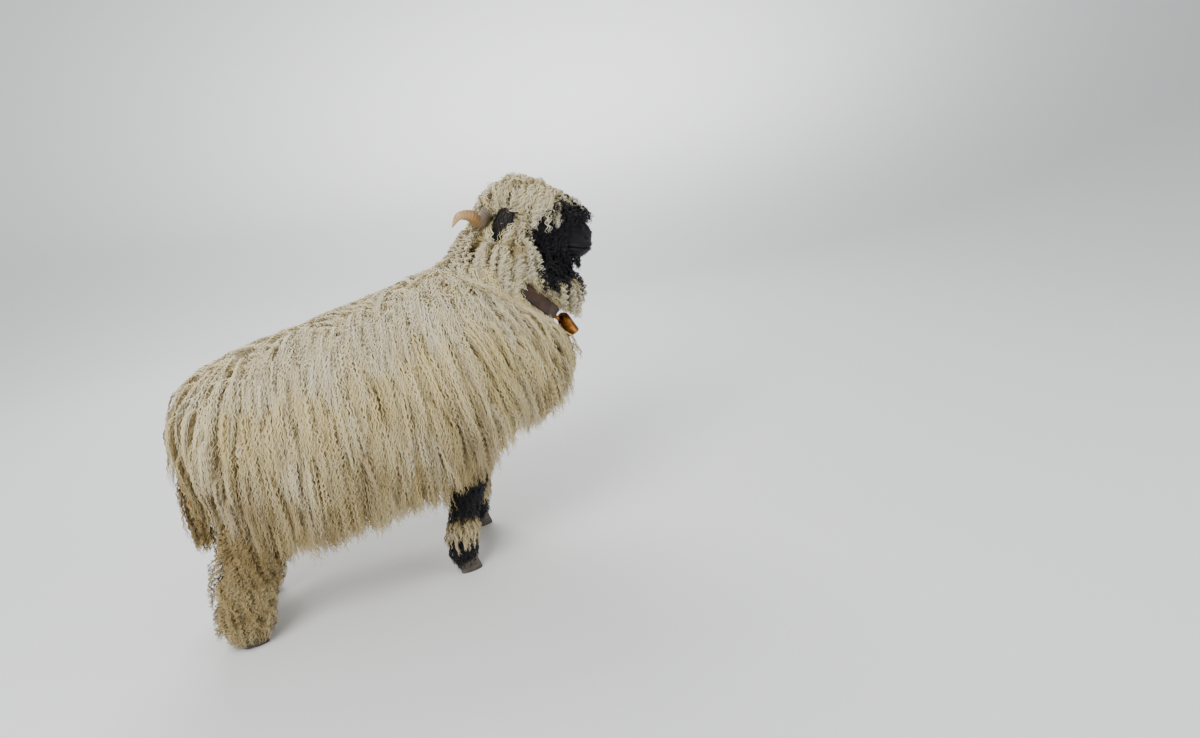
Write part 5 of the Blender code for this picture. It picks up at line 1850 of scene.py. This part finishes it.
@dataclass
class HeadGear:
    """Eyes with lids, ears and horns."""

    plan: SheepPlan
    wool: Material
    horn_finish: Material
    eye_finish: Material
    ear_wall: float = 0.0050
    gaze: Vector = vector(0.28, 1.0, 0.05)
    horn_rings: int = 150
    horn_around: int = 28
    horn_ridges: int = 27
    ridge_depth: float = 0.0009
    lid_half_width: float = 0.80
    lid_half_height: float = 0.46

    def build(self) -> list[Object]:
        """Make both sides, and return the two ears.

        Returns:
            The two ears.
        """
        ears = []
        for side in Side:
            self.eye(side)
            self.lids(side)
            ears.append(self.ear(side))
            self.horn(side)
        return ears

    def socket(self, side: Side) -> tuple[Vector, Vector, Vector]:
        """Return where an eye lies, where it looks, and the level way across it, in the head's own frame.

        Args:
            side: The eye's side.

        Returns:
            The centre, the gaze and the level way.
        """
        place = self.plan.eye_place
        gaze = Vector((self.gaze.x, self.gaze.y * side.value, self.gaze.z)).normalized()
        level = Vector((1, 0, 0)) - gaze * gaze.x
        return Vector((place.x, place.y * side.value, place.z)), gaze, level.normalized()

    def eye(self, side: Side) -> None:
        """Make the eyeball with a level slot of a pupil and a slight bulge over the iris.

        Args:
            side: Which one.
        """
        move = self.plan.head_move()
        centre, gaze, level = self.socket(side)
        upright = gaze.cross(level)
        bm = bmesh.new()
        bmesh.ops.create_uvsphere(bm, u_segments=64, v_segments=48, radius=1.0)
        bmesh.ops.transform(bm, matrix=Matrix((level, upright, gaze)).transposed().to_4x4(), verts=bm.verts)
        looks = []
        for vert in bm.verts:
            out = vert.co.normalized()
            a, b = out.dot(level), out.dot(upright)
            away = math.hypot(a, b) if out.dot(gaze) > 0 else 1.0
            bulge = 0.0007 * max(0.0, 1 - (away / 0.62) ** 2)
            slot = (a / 0.34) ** 2 + (b / 0.13) ** 4 + (b / 0.14) ** 2
            looks.append((away, 1.0 if slot < 1.0 and out.dot(gaze) > 0 else 0.0, 0.0, 1.0))
            vert.co = move @ (centre + out * (self.plan.eye_radius - 0.0008 + bulge))
        piece = finish_mesh("eyeball_" + side.label, bm, self.eye_finish)
        paint(piece.data, "look", np.array(looks))
        settle(piece, "eye", "eye_" + side.label)

    def lids(self, side: Side) -> None:
        """Fold an upper and a lower lid round the eye, each with a rounded margin.

        Args:
            side: Which one.
        """
        move = self.plan.head_move()
        centre, gaze, level = self.socket(side)
        upright = Vector((0, 0, 1)) - gaze * gaze.z
        upright.normalize()
        bm = bmesh.new()
        for way in (-1, 1):
            grid = bmesh.ops.create_grid(bm, x_segments=28, y_segments=8, size=1.0)["verts"]
            for vert in grid:
                across, out = vert.co.x, (vert.co.y + 1) / 2
                margin = self.lid_half_height * (0.75 if way < 0 else 1.0) * (1 - across * across) ** 0.75
                rise = margin + (1.15 - margin) * out
                spread = across * (self.lid_half_width + 0.35 * out)
                thick = 0.0004 + 0.0026 * math.sin(min(out * 4.0, 1.0) * math.pi / 2) - 0.0042 * out ** 2
                radius = self.plan.eye_radius + thick
                direction = (gaze * math.cos(spread) * math.cos(rise) + level * math.sin(spread)
                             + upright * math.sin(rise) * way * math.cos(spread)).normalized()
                vert.co = move @ (centre + direction * radius)
        bmesh.ops.recalc_face_normals(bm, faces=bm.faces)
        bmesh.ops.solidify(bm, geom=bm.faces[:], thickness=0.0008)
        piece = finish_mesh("lids_" + side.label, bm, self.wool)
        self.mark_black(piece)
        settle(piece, "black_wool")

    @staticmethod
    def mark_black(piece: Object) -> None:
        """Write the wool attribute of a piece of black skin."""
        paint(piece.data, "wool", np.tile([0.15, 0.5, 1.0, 0.0], (len(piece.data.vertices), 1)))

    def ear(self, side: Side) -> Object:
        """Make the hanging ear as a cupped leaf with a wall of even thickness.

        Args:
            side: Which one.

        Returns:
            The ear.
        """
        move = self.plan.head_move()
        path = np.array(self.plan.ear_path) * (1, side.value, 1)
        halves = np.array(self.plan.ear_half_widths)
        rows, columns = 28, 14
        bm = bmesh.new()
        grid = bmesh.ops.create_grid(bm, x_segments=columns, y_segments=rows, size=1.0)["verts"]
        for vert in grid:
            share, t = vert.co.x, (vert.co.y + 1) / 2
            centre = at(path, t)
            forward = heading(path, t, 0.04)
            wide = np.array([1.0, 0.25 * side.value, 0.0])
            wide = unit(wide - forward * wide.dot(forward))
            thick = np.cross(forward, wide) * side.value
            half = float(at(halves, t))
            ripple = 0.0015 * math.sin(t * 9 + share * 3)
            vert.co = move @ Vector(centre + wide * half * share + thick * (0.30 * half * share ** 2 + ripple))
        bmesh.ops.solidify(bm, geom=bm.faces[:], thickness=self.ear_wall)
        bmesh.ops.recalc_face_normals(bm, faces=bm.faces)
        bmesh.ops.bevel(bm, geom=[e for e in bm.edges if e.calc_face_angle(0.0) > 1.0], offset=0.0016, segments=2,
                        profile=0.5, affect="EDGES", material=-1)
        piece = finish_mesh("ear_skin_" + side.label, bm, self.wool)
        self.mark_black(piece)
        return settle(piece, "black_wool", "ear_" + side.label)

    def horn(self, side: Side) -> None:
        """Make the horn with its growth rings, deepest near the head.

        Args:
            side: Which one.
        """
        move = self.plan.head_move()
        path = np.array(self.plan.horn_path) * (1, side.value, 1)
        radii = np.array(self.plan.horn_radii)
        angles = turns(self.horn_around)
        rings, marks = [], []
        for t in np.linspace(0, 1, self.horn_rings):
            centre = at(path, t)
            forward = heading(path, t, 0.02)
            wide = unit(np.array([0.0, 0, 1]) - forward * forward[2])
            thick = np.cross(forward, wide)
            fade = float(1 - 0.7 * smooth(0.60, 0.90, np.array(t)))
            wave = math.sin(2 * math.pi * self.horn_ridges * t + 0.9 * math.sin(23 * t))
            groove = fade * (0.5 - 0.5 * wave)
            radius = float(at(radii, t)) - self.ridge_depth * groove
            rings.append([move @ Vector(centre + (wide * math.cos(angle) + thick * math.sin(angle) * 0.85)
                                        * radius * (1 + 0.05 * math.cos(3 * angle))) for angle in angles])
            marks += [(t, groove, 0.0, 1.0)] * self.horn_around
        piece = finish_mesh("horn_shaft_" + side.label, bridge_rings(rings), self.horn_finish)
        paint(piece.data, "growth", np.array(marks))
        settle(piece, "horn", "horn_" + side.label)


@dataclass
class Trappings:
    """The strap, its bell and the claws."""

    plan: SheepPlan
    leather: Material
    bronze: Material
    hoof: Material
    strap_width: float = 0.040
    strap_thickness: float = 0.004
    strap_rise: float = 0.170
    strap_fall: float = 0.172
    strap_steps: int = 140
    bell_profile: tuple = ((0.000, 0.036), (0.012, 0.0335), (0.036, 0.0295), (0.056, 0.0245), (0.064, 0.014))
    bell_wall: float = 0.0025
    bell_flatten: float = 0.72
    bell_swing: float = math.radians(20.0)
    claw_rings: int = 9
    claw_around: int = 40
    claw_tuck: float = 0.965

    def strap(self) -> None:
        """Lay the strap round the neck, with rounded edges."""
        axis, up = self.plan.collar_axes()
        centre = self.plan.collar_centre + self.plan.shift
        half, thick, edge, groove, dent = self.strap_width / 2, self.strap_thickness, 0.0012, 0.006, 0.0008
        profile = ((-half, edge), (-half + edge, 0), (half - edge, 0), (half, edge), (half, thick - edge),
                   (half - edge, thick), (half - groove, thick), (half - groove - 0.001, thick - dent),
                   (-half + groove + 0.001, thick - dent), (-half + groove, thick), (-half + edge, thick),
                   (-half, thick - edge))
        rings = []
        for angle in turns(self.strap_steps):
            rise = self.strap_rise if math.cos(angle) > 0 else self.strap_fall
            rings.append([centre + Vector((0, 1, 0)) * math.sin(angle) * (self.plan.strap_half_width + extra)
                          + up * math.cos(angle) * (rise + extra) + axis * shift for shift, extra in profile])
        settle(finish_mesh("strap", bridge_rings(rings, True), self.leather), "leather", "collar_strap")

    def bell(self) -> None:
        """Turn the bell with a beaded rim, hang it by its lug, and dress the clapper's node."""
        move = (Matrix.Translation(self.plan.bell_crown + self.plan.shift) @ Matrix.Rotation(-self.bell_swing, 4, "Y")
                @ Matrix.Translation((0, 0, -self.bell_profile[-1][0])))
        profile = np.array(self.bell_profile)
        outside = hermite(profile, np.linspace(0, 1, 26))
        rim = np.exp(-(outside[:, 0] / 0.0030) ** 2) * 0.0004
        outer = [(radius + extra, height) for (height, radius), extra in zip(outside, rim)]
        inner = [(max(radius - self.bell_wall, 0.001), height - self.bell_wall * (height > 0.001))
                 for height, radius in outside[::-1]]
        bm = bmesh.new()
        chain = [bm.verts.new((0.0, 0.0, profile[-1][0]))] + [bm.verts.new((r, 0, z)) for r, z in outer[::-1]]
        chain += [bm.verts.new((r, 0, z)) for r, z in inner[::-1]]
        chain.append(bm.verts.new((0.0, 0.0, profile[-1][0] - self.bell_wall)))
        edges = [bm.edges.new(pair) for pair in zip(chain, chain[1:])]
        bmesh.ops.spin(bm, geom=chain + edges, cent=(0, 0, 0), axis=(0, 0, 1), angle=2 * math.pi, steps=48,
                       use_merge=True)
        bmesh.ops.remove_doubles(bm, verts=bm.verts, dist=1e-5)
        loose = [vert for vert in bm.verts if not vert.link_faces]
        bmesh.ops.delete(bm, geom=loose, context="VERTS")
        bmesh.ops.scale(bm, vec=(self.bell_flatten, 1, 1), verts=bm.verts)
        bmesh.ops.recalc_face_normals(bm, faces=bm.faces)
        bmesh.ops.transform(bm, matrix=move, verts=bm.verts)
        axis, up = self.plan.collar_axes()
        root = self.plan.collar_centre + self.plan.shift - up * (self.strap_fall + self.strap_thickness)
        lug = bmesh.ops.create_cube(bm, size=1.0)["verts"]
        bmesh.ops.scale(bm, vec=(0.011, 0.017, 0.028), verts=lug)
        turn = Matrix((axis, (0, 1, 0), up)).transposed().to_4x4()
        bmesh.ops.transform(bm, matrix=Matrix.Translation(root - up * 0.014) @ turn, verts=lug)
        lug_edges = list({edge for vert in lug for edge in vert.link_edges})
        bmesh.ops.bevel(bm, geom=lug_edges, offset=0.002, segments=3, profile=0.5, affect="EDGES", material=-1)
        settle(finish_mesh("bell_cast", bm, self.bronze), "bell_metal", "bell")
        clapper = bpy.data.objects["bell_clapper"]
        clapper.data.materials.clear()
        clapper.data.materials.append(self.bronze)

    def claws(self) -> None:
        """Shape each claw with a rounded wall, a flat sole and a pointed toe, and replace its node."""
        for leg in ("hind_right", "hind_left", "front_right", "front_left"):
            for place in ("inner", "outer"):
                self.claw("claw_%s_%s" % (leg, place))

    def claw(self, node: str) -> None:
        """Shape one claw inside its node's box.

        Args:
            node: The claw's node.
        """
        low, high = (np.array(corner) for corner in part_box(node))
        centre = (low + high) / 2
        half = (high - low) / 2
        rings = []
        for share in np.linspace(0.0, 1.0, self.claw_rings):
            shrink = 1 - 0.24 * share ** 1.2
            tuck = 1.0 if share else self.claw_tuck
            ring = []
            for angle in turns(self.claw_around):
                reach = math.cos(angle)
                spread = math.copysign(abs(math.sin(angle)) ** 0.75, math.sin(angle))
                spread *= 1 - 0.36 * max(reach, 0) ** 2
                ring.append((centre[0] + reach * half[0] * shrink * tuck - 0.004 * share,
                             centre[1] + spread * half[1] * (1 - 0.12 * share) * tuck, low[2] + share * 2 * half[2]))
            rings.append(ring)
        settle(finish_mesh("hoof_" + node[5:], bridge_rings(rings), self.hoof), "claw", node)


@dataclass
class Studio:
    """The pale floor, the soft light and the camera of the photograph's view."""

    plan: SheepPlan
    paper: Material
    camera_place: Vector = vector(-0.36, -2.60, 1.35)
    yaw: float = math.radians(23.5)
    pitch: float = math.radians(-17.7)
    roll: float = math.radians(-8.0)
    lens: float = 28.17
    lamps: tuple = (("key", (-2.2, -2.4, 3.6), 2.4, 200.0), ("fill", (3.0, -2.6, 1.8), 3.0, 45.0),
                    ("back", (0.6, 3.2, 3.4), 2.6, 165.0), ("wash", (3.0, 5.5, 4.5), 4.0, 420.0))
    sky: str = "eef1f4"
    sky_strength: float = 0.58

    def build(self) -> None:
        """Make the floor, lights and camera."""
        self.floor()
        self.lights()
        self.camera()

    def floor(self) -> None:
        """Lay a wide floor that curves up into a backdrop behind the sheep."""
        bm = bmesh.new()
        bmesh.ops.create_grid(bm, x_segments=60, y_segments=60, size=14.0)
        for vert in bm.verts:
            away = math.hypot(vert.co.x, vert.co.y)
            rise = max(0.0, away - 3.6)
            vert.co.z = 0.055 * rise ** 2
        floor = finish_mesh("floor", bm, self.paper)

    def lights(self) -> None:
        """Hang a large soft key light, a fill and a back light, under a pale sky."""
        for name, place, size, power in self.lamps:
            lamp = bpy.data.lights.new(name, "AREA")
            lamp.size, lamp.energy = size, power
            holder = link(name, lamp)
            holder.location = place
            aim = Vector((4.5, 11.0, 1.0) if name == "wash" else (0.0, 0.0, 0.5)) - Vector(place)
            holder.rotation_euler = aim.to_track_quat("-Z", "Y").to_euler()
        world = bpy.data.worlds.new("studio")
        world.use_nodes = True
        sky = world.node_tree.nodes["Background"]
        sky.inputs["Color"].default_value = linear(self.sky)
        sky.inputs["Strength"].default_value = self.sky_strength
        bpy.context.scene.world = world

    def camera(self) -> None:
        """Stand the camera where the photograph was taken from, with its tilt."""
        forward = Vector((math.sin(self.yaw) * math.cos(self.pitch), math.cos(self.yaw) * math.cos(self.pitch),
                          math.sin(self.pitch)))
        right = Vector((math.cos(self.yaw), -math.sin(self.yaw), 0))
        up = right.cross(forward)
        across = right * math.cos(self.roll) + up * math.sin(self.roll)
        upright = up * math.cos(self.roll) - right * math.sin(self.roll)
        data = bpy.data.cameras.new("view")
        data.lens, data.sensor_width = self.lens, 36.0
        data.clip_end = 60.0
        camera = link("view", data)
        turn = Matrix((across, upright, -forward)).transposed().to_4x4()
        camera.matrix_world = Matrix.Translation(self.camera_place + self.plan.shift) @ turn
        bpy.context.scene.camera = camera


def main() -> None:
    """Load the frame, dress the sheep, and set up the studio."""
    logging.basicConfig(level=logging.INFO, format="%(name)s %(message)s")
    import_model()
    rng = np.random.default_rng(SEED)
    plan = SheepPlan()
    plan.find_shift()
    wool = GreasyWool().make()
    hide = Hide(plan, wool)
    hide.build()
    fleece = Fleece(hide, wool, rng)
    shepherd = Shepherd(plan, hide, fleece, rng)
    shepherd.trunk()
    shepherd.undercoat()
    shepherd.ruff()
    shepherd.legs()
    shepherd.tail()
    shepherd.head()
    gear = HeadGear(plan, wool, RidgedHorn().make(), SheepEye().make())
    shepherd.ears(gear.build())
    LOG.info("wool: %d triangles", fleece.made)
    trappings = Trappings(plan, StrapLeather().make(), TarnishedBronze().make(), HoofHorn().make())
    trappings.strap()
    trappings.bell()
    trappings.claws()
    Studio(plan, StudioPaper().make()).build()


if __name__ == "__main__":
    main()
